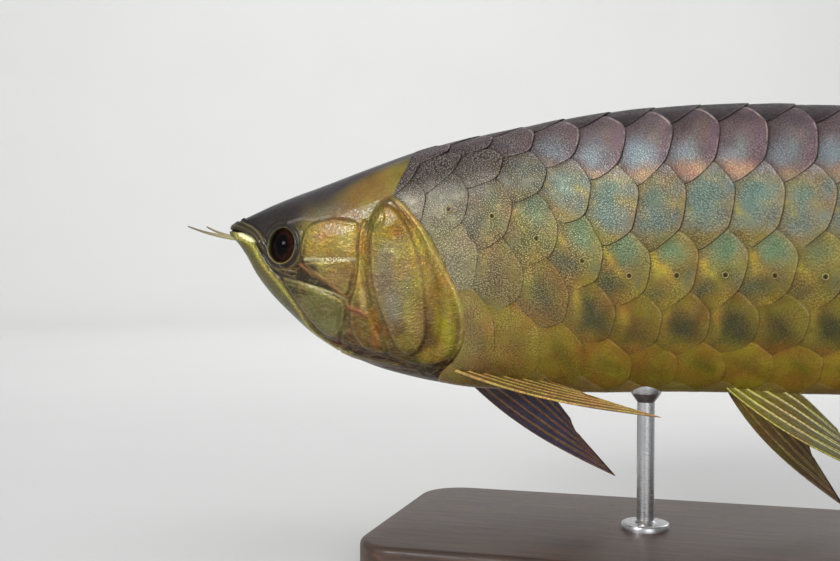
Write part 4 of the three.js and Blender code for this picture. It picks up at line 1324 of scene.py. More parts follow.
@dataclass
class Head:
    """How the head's skin stands out and is painted, by station and height."""

    eye: tuple[float, float] = (35.0, 11.6)
    gill_rise: float = 1.1
    lip_width: float = 4.2
    lip_crease: float = 2.1
    lip_rise: float = 0.8
    lip_bead: float = 0.3
    lip_groove: float = 0.4
    mouth_groove: float = 1.5
    jaw_rise: float = 0.7
    jaw_rear_groove: float = 0.7
    pit_row: float = 1.1
    pit_depth: float = 0.5
    growth_middle: tuple[float, float] = (84.0, 20.0)

    def __post_init__(self) -> None:
        """Draws the outlines once."""
        self.mouth = spline(MOUTH_LINE, 60)
        self.dentary = spline(DENTARY_EDGE, 50)
        self.jaw_rear = spline(JAW_REAR, 16)
        self.plates = [(plate, spline(plate.outline, 70, closed=True)) for plate in PLATES]
        self.folds = [(fold, spline(fold.line, 24)) for fold in FOLDS]
        self.opercle = self.plates[PLATES.index(OPERCLE_PLATE)][1]

    def mouth_distance(self, s: Array, z: Array) -> Array:
        """Measures how far above the mouth line each place lies. Below it is negative."""
        gap, side = line_distance(s, z, self.mouth)
        return gap * side

    def jaw_distance(self, s: Array, z: Array) -> Array:
        """Measures how far above the jaw band's edge each place lies. Below it is negative."""
        gap, side = line_distance(s, z, self.dentary)
        return gap * side

    @staticmethod
    def pits(s: Array) -> Array:
        """Spaces the jaw's pits unevenly along it, from 0 between them to 1 on each."""
        return np.maximum(0, np.sin(2.7 * s + 1.3 * np.sin(1.1 * s))) ** 2

    def relief(self, s: Array, z: Array) -> Array:
        """Finds how far the skin stands out from the smooth body.

        Args:
            s: Stations of the places.
            z: Heights of the places.

        Returns:
            The height in millimetres.
        """
        height = self.gill_rise * ease(-0.9, 1.1, inside_distance(s, z, GILL_COVER))
        for plate, outline in self.plates:
            depth = inside_distance(s, z, outline)
            height += plate.lift * ease(-plate.soft, plate.soft, depth)
            height += plate.dome * (1 - np.exp(-np.maximum(depth, 0) / 6))
        for fold, line in self.folds:
            gap, _ = line_distance(s, z, line)
            height += fold.height * bump(gap, fold.width)
        above = self.mouth_distance(s, z)
        ahead = ease(47, 38, s)
        lip = ease(0, 0.7, above) * ease(self.lip_width + 0.8, self.lip_width - 0.6, above)
        height += ahead * self.lip_rise * lip
        beads = bump(above - self.lip_crease, 0.5) + bump(above - self.lip_width, 0.5)
        height += ahead * self.lip_bead * beads
        height -= ahead * self.lip_groove * bump(above - self.lip_width - 0.9, 0.6)
        height -= ease(74, 66, s) * self.mouth_groove * bump(above, 0.42)
        under = self.jaw_distance(s, z)
        height += self.jaw_rise * ease(0.5, -0.6, under) * ease(74, 60, s)
        height -= self.pit_depth * bump(under + self.pit_row, 0.7) * self.pits(s) * ease(66, 58, s)
        gap, _ = line_distance(s, z, self.jaw_rear)
        height -= self.jaw_rear_groove * bump(gap, 0.8)
        return height

    def paint(self, s: Array, z: Array) -> Array:
        """Finds the skin's colour on the head.

        Args:
            s: Stations of the places.
            z: Heights of the places.

        Returns:
            A linear colour for each place.
        """
        share = clamp01(Body.depth(s, z))
        shares = (0, 0.08, 0.2, 0.34, 0.6, 0.85, 1)
        tones = ((46, 42, 46), (52, 47, 47), (82, 68, 40), (124, 100, 38), (112, 92, 44), (86, 64, 26),
                 (42, 30, 11))
        table = np.array([ink(colour) for colour in tones])
        colour = np.stack([np.interp(share, shares, table[:, k]) for k in range(4)], -1)

        def lay(mask: Array, shade: Colour) -> None:
            """Lays a colour over the paint where the mask says."""
            nonlocal colour
            colour = mix(colour, ink(shade), mask[..., None])

        for dab in DABS:
            off_s = s - dab.middle[0]
            off_z = z - dab.middle[1] - dab.slope * off_s
            reach = np.hypot(off_s / dab.half[0], off_z / dab.half[1])
            lay(dab.strength * ease(1.35, 0.55, reach), dab.colour)
        above = self.mouth_distance(s, z)
        front = ease(70, 62, s)
        ahead = ease(47, 40, s)
        lay(front * 0.9 * ease(0, 0.6, above) * ease(5, 4, above), (42, 35, 24))
        lay(ahead * 0.75 * bump(above - self.lip_width, 0.35), (112, 94, 54))
        lay(ahead * 0.55 * bump(above - self.lip_crease, 0.3), (102, 86, 48))
        under = self.jaw_distance(s, z)
        lay(ahead * 0.9 * ease(0, -0.5, above) * ease(-0.6, 0.4, under), (46, 40, 24))
        chin = ease(0.3, -0.5, under) * ease(74, 60, s)
        lay(0.92 * chin, (98, 92, 36))
        lay(0.75 * chin * ease(-3.4, -6.5, under), (76, 66, 30))
        lay(0.8 * chin * bump(under + 1.9, 1.0), (192, 180, 86))
        lay(0.95 * chin * bump(under + self.pit_row, 0.8) * self.pits(s), (44, 38, 18))
        # Painted highlight: a bright cream crescent on the tip of the lower lip.
        tip = np.hypot((s - 13) / 6, (z - 15.6 + 0.34 * (s - 13)) / 1.5)
        lay(0.95 * ease(1.2, 0.7, tip) * ease(0.1, -0.4, above), (250, 240, 190))
        lay(front * bump(above, 0.5), (30, 22, 18))
        for _, outline in self.plates:
            depth = inside_distance(s, z, outline)
            lay(0.4 * bump(depth + 0.6, 0.55), (60, 42, 18))
            lay(0.22 * bump(depth - 1.0, 0.5), (184, 160, 98))
        for fold, line in self.folds:
            gap, _ = line_distance(s, z, line)
            lay(fold.strength * bump(gap, fold.width * 1.1), fold.colour)
        edge = head_edge(z) - s
        lay(0.6 * ease(35, 30, z) * ease(-42, -34, z) * ease(2.6, 0.6, edge), (196, 172, 96))
        return colour

    def pearl(self, s: Array, z: Array) -> Array:
        """Finds how metallic the skin is: gold on the cheeks and gill covers, dull on the crown."""
        share = clamp01(Body.depth(s, z))
        return 0.58 * ease(0.12, 0.32, share) * ease(20, 46, s)

    def grain(self, s: Array, z: Array) -> Array:
        """Finds how granular the skin is: most on the jaw band, and a little on the gill covers."""
        jaw = ease(-0.4, -1.6, self.jaw_distance(s, z)) * ease(72, 60, s)
        return np.maximum(jaw, 0.35 * ease(-1, 4, inside_distance(s, z, self.opercle)))

    def growth(self, s: Array, z: Array) -> tuple[Array, Array]:
        """Finds the opercle's growth lines.

        Args:
            s: Stations of the places.
            z: Heights of the places.

        Returns:
            The distance from the middle of growth, and how strongly the lines show.
        """
        lines = np.hypot(s - self.growth_middle[0], z - self.growth_middle[1])
        lower = ease(6, -16, z) * ease(86, 94, s)
        return lines, lower * ease(0.5, 3, inside_distance(s, z, self.opercle))


HEAD = Head()


class Side(Enum):
    """The fish's two sides, by the sign of y."""

    LEFT = -1
    RIGHT = 1


@dataclass
class EyePlace:
    """Where one eye lies: its axis leans forward and up, square to the skin there."""

    side: Side
    radius: float = 9.5
    proud: float = 2.6
    turn_forward: float = 25.0
    turn_up: float = 8.0

    def __post_init__(self) -> None:
        """Works out the axis, two directions square to it, and the middle of the eyeball."""
        forward, up = np.radians([self.turn_forward, self.turn_up])
        s, z = HEAD.eye
        way, level = self.side.value, np.cos(up)
        self.axis = np.array([-np.sin(forward) * level, way * np.cos(forward) * level, np.sin(up)])
        self.upward = np.array([0, 0, 1]) - self.axis * self.axis[2]
        self.upward /= np.linalg.norm(self.upward)
        self.sideways = np.cross(self.upward, self.axis)
        on_skin = np.array([s, way * float(Body.half_width(s, z)), z])
        self.centre = on_skin + self.axis * (self.proud - self.radius)

    def around(self, reach: Array, turn: Array, height: Array) -> Array:
        """Finds points by their distance from the axis, their turn around it and their height along it."""
        flat = np.cos(turn)[..., None] * self.sideways + np.sin(turn)[..., None] * self.upward
        return self.centre + flat * reach[..., None] + self.axis * height[..., None]

    def skin_height(self, reach: Array, turn: Array) -> Array:
        """Finds how high above the eyeball's middle the smooth body lies, along the eye's axis.

        Args:
            reach: Distances from the axis.
            turn: Turns around the axis.

        Returns:
            The heights.
        """
        height = np.full(reach.shape, self.radius - self.proud)
        for _ in range(12):
            point = self.around(reach, turn, height)
            wanted = Body.half_width(point[..., 0], point[..., 2])
            height = height + (wanted - point[..., 1] * self.side.value) * 0.8
        return height

    def off_axis(self, points: Array) -> Array:
        """Measures how far points are from the eye's axis, with places on the other side far away.

        Args:
            points: The points.

        Returns:
            The distances.
        """
        from_centre = points - self.centre
        depth = from_centre @ self.axis
        across = np.linalg.norm(from_centre - depth[..., None] * self.axis, axis=-1)
        return np.where(points[..., 1] * self.side.value > 0, across, np.inf)


EYES = {side: EyePlace(side) for side in Side}


@dataclass
class Skin:
    """The one skin of head, jaws, gill covers, trunk and tail, with nostrils and the eyes' surrounds."""

    above_mouth: int = 98
    below_mouth: int = 62
    head_rings: int = 212
    body_rings: int = 46
    under_scales: float = -0.75
    tuck: float = 1.85
    lip: Table = ((0.45, -0.12), (0.8, -0.4), (0.75, -0.85), (0.3, -1.35), (-1.2, -1.5), (-2.4, -1.85))
    mouth_corner: float = 66.0
    socket_reach: float = 9.3
    socket_depth: float = 6.5
    surround_reach: float = 13.6
    surround_steps: int = 96
    nostril_station: float = 9.5
    nostril_turn: float = 0.24 * np.pi
    pore_lift: float = 0.75
    pore_thickness: float = 0.26

    def ring_turns(self, stations: Array) -> Array:
        """Spreads places evenly down one side at each station, with one of them on the mouth line.

        Args:
            stations: Stations behind the snout.

        Returns:
            The turns, one row for each station.
        """
        top, _, bottom = Body.section(stations)
        mouth = np.interp(stations, HEAD.mouth[:, 0], HEAD.mouth[:, 1])
        share = clamp01((top - mouth) / (top - bottom))
        rear_share = share[np.searchsorted(stations, self.mouth_corner)]
        share = np.where(stations > self.mouth_corner, rear_share, np.clip(share, 0.3, 0.95))
        at_mouth = Body.turn_at(stations, mix(top, bottom, share))
        turns = np.zeros((len(stations), self.above_mouth + self.below_mouth + 1))
        for k, s in enumerate(stations):
            for start, end, count, first in ((0, at_mouth[k], self.above_mouth, 0),
                                             (at_mouth[k], np.pi, self.below_mouth, self.above_mouth)):
                fine = np.linspace(start, end, 241)
                path = Body.point(np.full(fine.shape, s), fine)
                length = np.concatenate([[0], np.cumsum(np.linalg.norm(np.diff(path, axis=0), axis=-1))])
                turns[k, first:first + count + 1] = np.interp(
                    np.linspace(0, length[-1], count + 1), length, fine)
        return turns

    def grid(self) -> tuple[Array, Array, Array]:
        """Lays out the skin's grid.

        Returns:
            The station and the turn of each place, and the lift that the free edge of the head adds there.
        """
        table_s = np.concatenate([np.linspace(0, 12, 25)[:-1], np.arange(12, 512.0, 1.5), [WEDGE_END]])
        table = self.ring_turns(table_s)
        places = table.shape[1]
        index = np.arange(places)

        def turn_of(s: Array, j: Array) -> Array:
            """Reads the table between its stations.

            Args:
                s: Stations between the table's own.
                j: The places' numbers in a ring.

            Returns:
                The turns.
            """
            k = np.clip(np.searchsorted(table_s, s) - 1, 0, len(table_s) - 2)
            share = (s - table_s[k]) / (table_s[k + 1] - table_s[k])
            return mix(table[k, j], table[k + 1, j], share)

        edge = np.full(places, 110.0)
        for _ in range(30):
            z = Body.point(edge, turn_of(edge, index))[:, 2]
            edge = mix(edge, head_edge(z), 0.6)
        progress = np.concatenate([np.linspace(0, 0.1, 37)[:-1], np.linspace(0.1, 1, self.head_rings - 35)])
        flap = ease(38, 30, Body.point(edge, turn_of(edge, index))[:, 2])
        behind = np.linspace(0, 1, self.body_rings + 1) ** 1.1
        rows = [(0.02 + edge * share, np.zeros(places)) for share in progress]
        rows += [(edge + back * mix(0.25, 1, flap), drop * mix(0.55, 1, flap)) for back, drop in self.lip]
        start = rows[-1][0] + 0.5
        rows += [(start + (WEDGE_END - start) * share, np.full(places, -self.tuck)) for share in behind]
        s = np.stack([row for row, _ in rows])
        turns = turn_of(s, np.broadcast_to(index, s.shape))
        drops = np.stack([drop for _, drop in rows])
        return s, turns, drops

    def build(self) -> None:
        """Makes the skin."""
        def both_sides(values: Array, sign: int = 1) -> Array:
            """Adds the right side to values of the left side."""
            return np.concatenate([values[:, ::-1], sign * values[:, 1:-1]], 1)

        s, turn, drop = self.grid()
        s, turn, drop = both_sides(s), both_sides(turn, -1), both_sides(drop)
        smooth = Body.point(s, turn)
        z = smooth[..., 2]
        relief = HEAD.relief(s, z)
        edge = self.head_rings + 2
        relief[edge:edge + len(self.lip)] = relief[edge - 1]
        relief[edge + len(self.lip):] = 0
        fade = clamp01(-drop / self.tuck)
        tucked = mix(relief, 0, fade) + self.under_scales * fade - bump_lip(drop)
        lift = np.where(drop < 0, tucked, relief)
        for place in EYES.values():
            reach = place.off_axis(smooth)
            lift = lift - 0.3 * ease(self.surround_reach, self.surround_reach - 0.8, reach)
            lift = lift - self.socket_depth * ease(self.socket_reach + 1.3, self.socket_reach, reach)
        rings = Body.lifted(s, turn, lift)
        pieces = [sheet("skin", rings, self.marks(s, z, turn), unwrap=(0, 0, 1, 0.86))]
        for side in Side:
            pieces += [self.surround(side), self.nostril(side), self.pores(side)]
        skin = joined(pieces)
        dress(skin, SkinFinish().material(),
              ("head", "lower_jaw", "gill_cover_left", "gill_cover_right", "trunk", "tail"))

    def marks(self, s: Array, z: Array, turn: Array) -> dict[str, Array]:
        """Finds what the skin's material reads at each place.

        Args:
            s: Stations behind the snout.
            z: Heights.
            turn: Turns around the body.

        Returns:
            The values, by attribute name.
        """
        paint = HEAD.paint(s, z)
        body = body_paint(s, np.abs(turn))
        behind = ease(-0.5, 1.5, s - head_edge(z))
        lines, growth = HEAD.growth(s, z)
        return {"paint": mix(paint, body, behind[..., None]), "pearl": HEAD.pearl(s, z) * (1 - behind),
                "grain": HEAD.grain(s, z) * (1 - behind), "arc": lines, "growth": growth * (1 - behind),
                "flat": Body.flat(s, turn)}

    def surround(self, side: Side) -> Piece:
        """Makes the ring of skin that frames one eye, rolled in at the eyeball.

        Args:
            side: The fish's side.

        Returns:
            The ring.
        """
        place = EYES[side]
        profile = ((8.12, 4.6, 0.0), (8.1, 5.6, 0.0), (8.2, 6.4, 0.3), (8.42, 7.0, 0.5), (8.75, 7.35, 0.6),
                   (9.15, 7.3, 0.75), (9.6, 7.05, 0.9), (10.1, 0.1, 1.0), (10.6, -0.02, 1.0),
                   (11.1, 0.12, 1.0), (11.6, 0.22, 1.0), (12.1, 0.16, 1.0), (12.7, 0.06, 1.0),
                   (13.3, 0.01, 1.0), (13.9, -0.14, 1.0), (13.7, -1.2, 1.0), (11.0, -1.6, 1.0),
                   (9.0, 3.6, 0.0))
        full = np.zeros((self.surround_steps, 1))
        reach, raised, follow = (column + full for column in np.array(profile).T)
        turn = circle(self.surround_steps)[:, None] + np.zeros_like(reach)
        skin_height = place.skin_height(reach, turn)
        flat = place.around(reach, turn, skin_height)
        relief = HEAD.relief(flat[..., 0], flat[..., 2])
        plane = place.radius - place.proud
        over_skin = skin_height + relief + np.where(raised > 3, raised - plane, raised)
        rigid = np.where(raised > 3, raised, skin_height)
        rings = place.around(reach, turn, mix(rigid, over_skin, follow))
        marks = self.marks(flat[..., 0], flat[..., 2], Body.turn_at(flat[..., 0], flat[..., 2]))
        low_side = ease(0.5, -0.7, np.sin(turn))
        gold = 0.6 * bump(reach - 8.75, 0.3) * mix(0.25, 1, low_side)
        gold = np.maximum(gold, 0.35 * bump(reach - 11.7, 0.4) * ease(-0.2, 0.9, np.cos(turn - 5.6)))
        dark = 0.92 * ease(11.6, 10.2, reach)
        paint = mix(marks["paint"], ink((32, 25, 20)), dark[..., None])
        marks["paint"] = mix(paint, ink((150, 136, 70)), gold[..., None])
        marks["pearl"] = marks["pearl"] * ease(10, 13, reach)
        low = 0.02 if side is Side.LEFT else 0.27
        return sheet(f"eye_surround_{side.name.lower()}", rings, marks, closed_length=True,
                     unwrap=(low, 0.88, low + 0.22, 0.99))

    def nostril(self, side: Side) -> Piece:
        """Makes one nostril: a short tube whose bore is painted dark, as shade.

        Args:
            side: The fish's side.

        Returns:
            The tube.
        """
        s, turn = self.nostril_station, -side.value * self.nostril_turn
        profile = np.array(((2.6, -0.6), (2.5, 0.0), (2.0, 0.2), (1.6, 0.6), (1.42, 1.0), (1.25, 1.25),
                            (1.0, 1.3), (0.82, 1.1), (0.78, 0.5), (0.7, -0.6)))
        turns = circle(28)[:, None]
        reach, height = profile[None, :, 0], profile[None, :, 1]
        rings = revolve(Body.point(s, turn), Body.normal(s, turn), reach, turns, height)
        marks = self.marks(rings[..., 0], rings[..., 2], np.full(rings.shape[:2], turn))
        # Painted shade in the nostril's bore.
        dark = ease(1.0, 0.8, reach + 0 * turns)
        marks["paint"] = mix(marks["paint"], ink((16, 12, 10)), dark[..., None])
        low = 0.52 if side is Side.LEFT else 0.62
        return sheet(f"nostril_{side.name.lower()}", rings, marks, closed_length=True,
                     unwrap=(low, 0.88, low + 0.08, 0.99))

    def pores(self, side: Side) -> Piece:
        """Makes the chain of little raised rings along the cheek's canal.

        Args:
            side: The fish's side.

        Returns:
            The joined rings.
        """
        chain = []
        places = ((58.6, 5.0, 0.5), (62.2, 5.1, 0.75), (64.7, 5.0, 0.95), (67.0, 4.9, 1.05),
                  (69.1, 4.9, 0.95), (71.3, 5.0, 0.7))
        for number, (s, z, radius) in enumerate(places):
            turn = -side.value * float(Body.turn_at(s, z))
            middle = Body.lifted(s, turn, self.pore_lift)
            rings = ring_points(middle, Body.normal(s, turn), radius, self.pore_thickness)
            values = self.marks(rings[..., 0], rings[..., 2], np.full(rings.shape[:2], turn))
            values["paint"] = mix(values["paint"], ink((228, 214, 168)), 0.7)
            low = 0.72 + 0.04 * number + (0.01 if side is Side.LEFT else 0)
            chain.append(sheet(f"pore_{number}", rings, values, closed_length=True,
                               unwrap=(low, 0.88, low + 0.008, 0.99)))
        return joined(chain)


def bump_lip(drop: Array) -> Array:
    """Lowers the free edge's underside a little, so that it casts a shadow."""
    return 0.12 * bump(drop + 1.35, 0.3)


def revolve(middle: Array, out: Array, reach: Array, turns: Array, height: Array) -> Array:
    """Finds points around an axis.

    Args:
        middle: Where the axis starts.
        out: The axis's direction.
        reach: The points' distances from the axis.
        turns: Their turns around it.
        height: Their heights along it.

    Returns:
        The points.
    """
    lean = np.cross(out, [0, 0, 1.0])
    lean /= np.linalg.norm(lean)
    other = np.cross(out, lean)
    return (middle + out * height[..., None] + lean * (reach * np.cos(turns))[..., None]
            + other * (reach * np.sin(turns))[..., None])


def ring_points(middle: Array, out: Array, radius: float, thickness: float) -> Array:
    """Finds the points of one small ring that lies on the skin.

    Args:
        middle: Its middle.
        out: The direction out of the skin.
        radius: The radius of the ring's middle line.
        thickness: The radius of the ring's own section.

    Returns:
        Its points, as [place along the ring, place around its section, xyz].
    """
    turns = circle(20)[:, None]
    section = circle(8)[None, :]
    reach = radius + thickness * np.cos(section) + 0 * turns
    height = thickness * np.sin(section) + 0 * turns
    return revolve(middle, out, reach, turns, height)


def body_paint(s: Array, turn: Array) -> Array:
    """Finds the skin's colour under the scales, by the row that lies over it, darkened as painted shade under
    the scales.

    Args:
        s: Stations behind the snout.
        turn: Turns around the body.

    Returns:
        A linear colour for each place.
    """
    flat_s, flat_turn = s.ravel(), turn.ravel()
    turns = Lattice.row_turns(np.minimum(flat_s, WEDGE_START))
    row = np.zeros(flat_s.shape)
    for k in range(SCALE_ROWS):
        row += clamp01((flat_turn - turns[k]) / np.maximum(turns[k + 1] - turns[k], 1e-6))
    table = np.array([ink(kind.base) for kind in ROWS])
    colour = np.stack([np.interp(row, np.arange(SCALE_ROWS + 1), table[:, k]) for k in range(4)], -1)
    # Painted shade: the skin under the scales is darkened to 0.6 of its row's colour.
    return (colour * np.array([0.6, 0.6, 0.6, 1])).reshape(*s.shape, 4)


class Stretch(Enum):
    """The coat's two stretches."""

    TRUNK = "trunk"
    TAIL = "tail"


@dataclass
class ScaleCoat:
    """The scales: one plate, modelled once, laid at each place of the lattice and bent to the body."""

    corners_around: int = 64
    face_rings: tuple[float, ...] = (0.988, 0.965, 0.93, 0.87, 0.79, 0.7, 0.6, 0.5, 0.4, 0.29, 0.18, 0.08)
    thickness: float = 0.2
    half_length: float = 0.8
    half_width: float = 0.7
    middle: float = -0.2
    crown: float = 0.16
    unevenness: float = 0.09
    tilt_range: float = 0.12
    wobble: float = 0.018
    rim_drop: float = 0.08
    tuck_at_head: float = 1.6
    tuck_further: float = 0.9
    shoulder: tuple[float, float] = (0.671, 0.765)
    squareness: float = 13.0
    shade_width: float = 0.09
    pore_row: int = 3
    pore_place: tuple[float, float] = (0.2, 0.05)
    pore_radius: float = 1.3
    pore_thickness: float = 0.28
    row_height: float = 26.0
    columns: tuple[int, int] = (-2, 26)
    bare_end: float = 9.0
    trunk_end: float = 312.0
    seed: int = 11
    draws: int = 20

    def plate(self) -> tuple[Array, list[list[int]]]:
        """Models one flat plate of radius 1: rings on its face, a rounded rim and a plain underside.

        Returns:
            Its corners, with z from 0 on the face to -1 on the underside, and its faces.
        """
        origin = (0, 0, 0)
        plate = fresh(bpy.ops.mesh.primitive_circle_add, "one_scale", vertices=self.corners_around, radius=1,
                      fill_type="NOTHING", location=origin)
        with editing(plate):
            bpy.ops.mesh.select_all(action="SELECT")
            radius = 1.0
            for share in self.face_rings:
                bpy.ops.mesh.extrude_edges_move()
                bpy.ops.transform.resize(value=(share / radius, share / radius, 1), center_override=origin)
                radius = share
            bpy.ops.mesh.merge(type="CENTER")
        rim = np.hypot(*corners(plate)[:, :2].T) > 0.999
        pick(plate, rim)
        with editing(plate):
            for share, drop in ((0.995, -0.35), (0.97, -0.65), (0.6, 0.0)):
                bpy.ops.mesh.extrude_edges_move()
                bpy.ops.transform.resize(value=(share, share, 1), center_override=origin)
                bpy.ops.transform.translate(value=(0, 0, drop))
            bpy.ops.mesh.merge(type="CENTER")
            bpy.ops.mesh.select_all(action="SELECT")
            bpy.ops.mesh.normals_make_consistent(inside=False)
        shape = corners(plate)
        shape[:, :2] *= self.outline(np.arctan2(shape[:, 1], shape[:, 0]))[:, None]
        faces = [list(face.vertices) for face in plate.data.polygons]
        bpy.data.objects.remove(plate)
        return shape, faces

    def outline(self, turn: Array) -> Array:
        """Finds the plate's radius at each turn: round in front, squared with slanted shoulders behind.

        Args:
            turn: Turns around the plate's middle.

        Returns:
            The radii.
        """
        ahead, across = np.maximum(np.cos(turn), 0), np.abs(np.sin(turn))
        slant = (ahead * self.shoulder[0] + across * self.shoulder[1]) * (ahead > 0)
        power = self.squareness
        squared = (ahead**power + slant**power + across**power + 1e-9) ** (-1 / power)
        return mix(1, squared, ease(-0.05, 0.25, ahead))

    def margin(self, x: Array, y: Array) -> Array:
        """Finds how near places are to the margin: 0 in the plate's middle, 1 on the margin, more outside."""
        return np.hypot(x, y) / self.outline(np.arctan2(y, x))

    def shadow(self, a: Array, b: Array) -> Array:
        """Finds the soft shade behind the margins of the three scales that lie over each scale's front.

        Args:
            a: How far each corner is behind its scale's middle, in pitches.
            b: How far it is below it, in rows.

        Returns:
            The shade, from 0 to 1.
        """
        shade = np.zeros(a.shape)
        for back, down in ((1.0, 0.0), (0.5, 1.0), (0.5, -1.0)):
            x, y = (a + back - self.middle) / self.half_length, (b + down) / self.half_width
            beyond = np.maximum(self.margin(x, y) - 1, 0)
            shade = np.maximum(shade, np.exp(-beyond / self.shade_width))
        return shade

    def paint(self, row: Array, a: Array, b: Array, s: Array, depth: Array,
              random: Array) -> dict[str, Array]:
        """Paints the patches of each scale, each a little different from the next.

        Args:
            row: The row of each scale.
            a: How far each corner is behind its scale's middle, in pitches.
            b: How far it is below it, in rows.
            s: The corners' stations.
            depth: How far down the body they are, from 0 on the back to 1 at the keel.
            random: Random numbers for each scale.

        Returns:
            The paint, the grains, and the painted shade of the lateral line's pores.
        """
        pore_a, pore_b = self.pore_place
        pore_gap = np.hypot((a - pore_a) * Lattice.PITCH, (b - pore_b) * self.row_height)
        # The pore's painted shade: a dark disc that stands for its opening.
        pore = ease(1.15, 0.75, pore_gap)
        phases = [TAU * random[:, k:k + 1] for k in range(4, 8)]
        wander_a = np.sin(7 * a + 5 * b + phases[0]) + 0.6 * np.sin(13 * b - 9 * a + phases[1])
        wander_b = np.sin(8 * b - 4 * a + phases[2]) + 0.6 * np.sin(15 * a + 6 * b + phases[3])
        a, b = a + 0.035 * wander_a, b + 0.03 * wander_b
        colour = np.zeros((*a.shape, 4))
        grain = np.zeros(a.shape)
        number = np.abs(row[:, 0]).astype(int)
        front = ease(200, 125, s)
        for k, kind in enumerate(ROWS):
            mine = number == k
            tint = np.broadcast_to(ink(kind.base), (*a[mine].shape, 4))
            for n, patch in enumerate(kind.patches):
                jitter = random[mine][:, 8 + n:9 + n] - 0.5
                off_a = a[mine] - patch.middle[0] - 0.12 * jitter
                off_b = b[mine] - patch.middle[1] - patch.slope * off_a + 0.09 * jitter
                grown = 1 + 0.45 * jitter
                reach = np.hypot(off_a / (patch.half[0] * grown), off_b / (patch.half[1] * grown))
                mask = patch.strength * (1 + 0.8 * jitter) * np.exp(-1.05 * reach**2)
                fade = 0.5 * front[mine] if patch.colour[2] > patch.colour[0] else 0.2 * front[mine]
                mask = clamp01(mask * (1 - fade))[..., None]
                tint = mix(tint, ink(patch.colour), mask)
            nearest = np.maximum(0.5 * front[mine], ease(146, 128, s[mine]))
            grey = (0.1, 0.1, 0.72, 0.72, 0.62, 0.3, 0.0)[k] * nearest
            tint = mix(tint, ink((134, 130, 107)), grey[..., None])
            mauve = 0.9 * front[mine] * ease(0.36, 0.12, depth[mine])
            colour[mine] = mix(tint, ink((64, 48, 52)), mauve[..., None])
            grain[mine] = clamp01(kind.grain * mix(0.6, 1.7, front[mine]))
        on_row = (number == self.pore_row)[:, None]
        return {"paint": colour, "grain": grain, "pore": np.where(on_row, pore, 0)}

    def swell(self, rim: Array, a: Array, b: Array, random: Array) -> Array:
        """Finds how far a scale's face bulges: domed in its middle, and gently uneven."""
        lengthways, crossways = np.sin(5 * a + 7 * random[:, 2:3]), np.sin(6 * b + 9 * random[:, 3:4])
        return self.crown * (1 - rim**2) + self.unevenness * lengthways * crossways

    def tilt(self, random: Array) -> Array:
        """Finds how much steeper or flatter than its row's own slope each scale lies."""
        return 1 + self.tilt_range * (random[:, 0:1] - 0.5)

    def cells(self) -> list[Cell]:
        """Lists the column and the row of each scale, leaving out those that lie wholly under the head.

        Returns:
            The scales' places in the lattice.
        """
        found = []
        for row in range(1 - SCALE_ROWS, SCALE_ROWS + 1):
            for column in range(*self.columns):
                u = Lattice.column(column, row)
                s, turn = Lattice.place(u + np.array([0.6, 0.4, 0.4]), row + np.array([0.0, -0.4, 0.4]))
                z = Body.point(s, turn)[:, 2]
                middle_s, _ = Lattice.place(u, float(row))
                if np.any(s > head_edge(z) - 1.0) and middle_s < WEDGE_END - self.bare_end:
                    found.append((column, row))
        return found

    def lay(self, name: str, cells: list[Cell], shape: Array, faces: list[list[int]],
            chances: dict[Cell, Array]) -> Piece:
        """Lays copies of the plate and joins them.

        Args:
            name: The piece's name.
            cells: The column and the row of each scale.
            shape: The plate's corners.
            faces: The plate's faces.
            chances: The random numbers of each scale.

        Returns:
            The joined scales.
        """
        def each(field: str) -> Array:
            """Reads one value of each scale's row."""
            return np.array([getattr(ROWS[abs(row)], field) for _, row in cells])[:, None]

        count, size = len(cells), len(shape)
        x, y, level = shape.T
        rim, fan = self.margin(x, y), np.arctan2(y, x)
        random = np.array([chances[cell] for cell in cells])
        number, row = np.array(cells, float).T[..., None]
        wavy = sum(np.sin(k * fan + TAU * random[:, k:k + 1]) * self.wobble / k**0.5 for k in (2, 3, 4, 5))
        grown = 1 + wavy * rim**2
        lengthways = self.middle + self.half_length * x * grown
        crossways = -self.half_width * y * grown
        s, turn = Lattice.place(Lattice.column(number, row) + lengthways, row + crossways)
        share = Lattice.pitch(s) / Lattice.PITCH
        slope = each("step") * self.tilt(random)
        height = slope * lengthways + self.swell(rim, lengthways, crossways, random)
        height = (height - self.rim_drop * ease(0.955, 1, rim) + self.thickness * level) * share
        smooth = Body.point(s, turn)
        inside = head_edge(smooth[..., 2]) - s
        height -= self.tuck_at_head * ease(-0.6, 3.5, inside)
        height -= self.tuck_further * ease(0.0, 8.0, inside)
        points = to_frame(Body.lifted(s, turn, height)).reshape(-1, 3)
        every = [[corner + size * k for corner in face] for k in range(count) for face in faces]
        mesh = bpy.data.meshes.new(name)
        mesh.from_pydata(points.tolist(), [], every)
        piece = bpy.data.objects.new(name, mesh)
        bpy.context.collection.objects.link(piece)
        side_row = np.sign(row + 0.5)
        depth = Body.depth(s, smooth[..., 2])
        values = self.paint(row, lengthways, crossways * side_row, s, depth, random)
        # The painted shadow on each margin is strongest on its lower side and the painted highlight on its
        # upper side, as light falls from above.
        lower = ease(-0.5, 0.5, crossways * side_row * 2 + 0.3 * lengthways)
        values |= {
            "rim": rim + 0 * s, "fan": fan + 0 * s, "chance": random[:, :1] + 0 * s,
            "margin_shadow": each("margin_shadow") * mix(0.25, 1, lower),
            "margin_highlight": each("margin_highlight") * mix(1, 0.35, lower),
            "shade": self.shadow(lengthways, crossways) * each("step"),
            "flat": Body.flat(s, turn, random[:, 9:10] * 60),
        }
        for key, value in values.items():
            mark(piece, key, value.reshape(-1, 4) if value.ndim == 3 else value.ravel())
        self.unwrap(piece, cells, shape, size)
        with editing(piece):
            bpy.ops.mesh.select_all(action="SELECT")
            bpy.ops.mesh.normals_make_consistent(inside=False)
        bpy.ops.object.shade_smooth()
        return piece

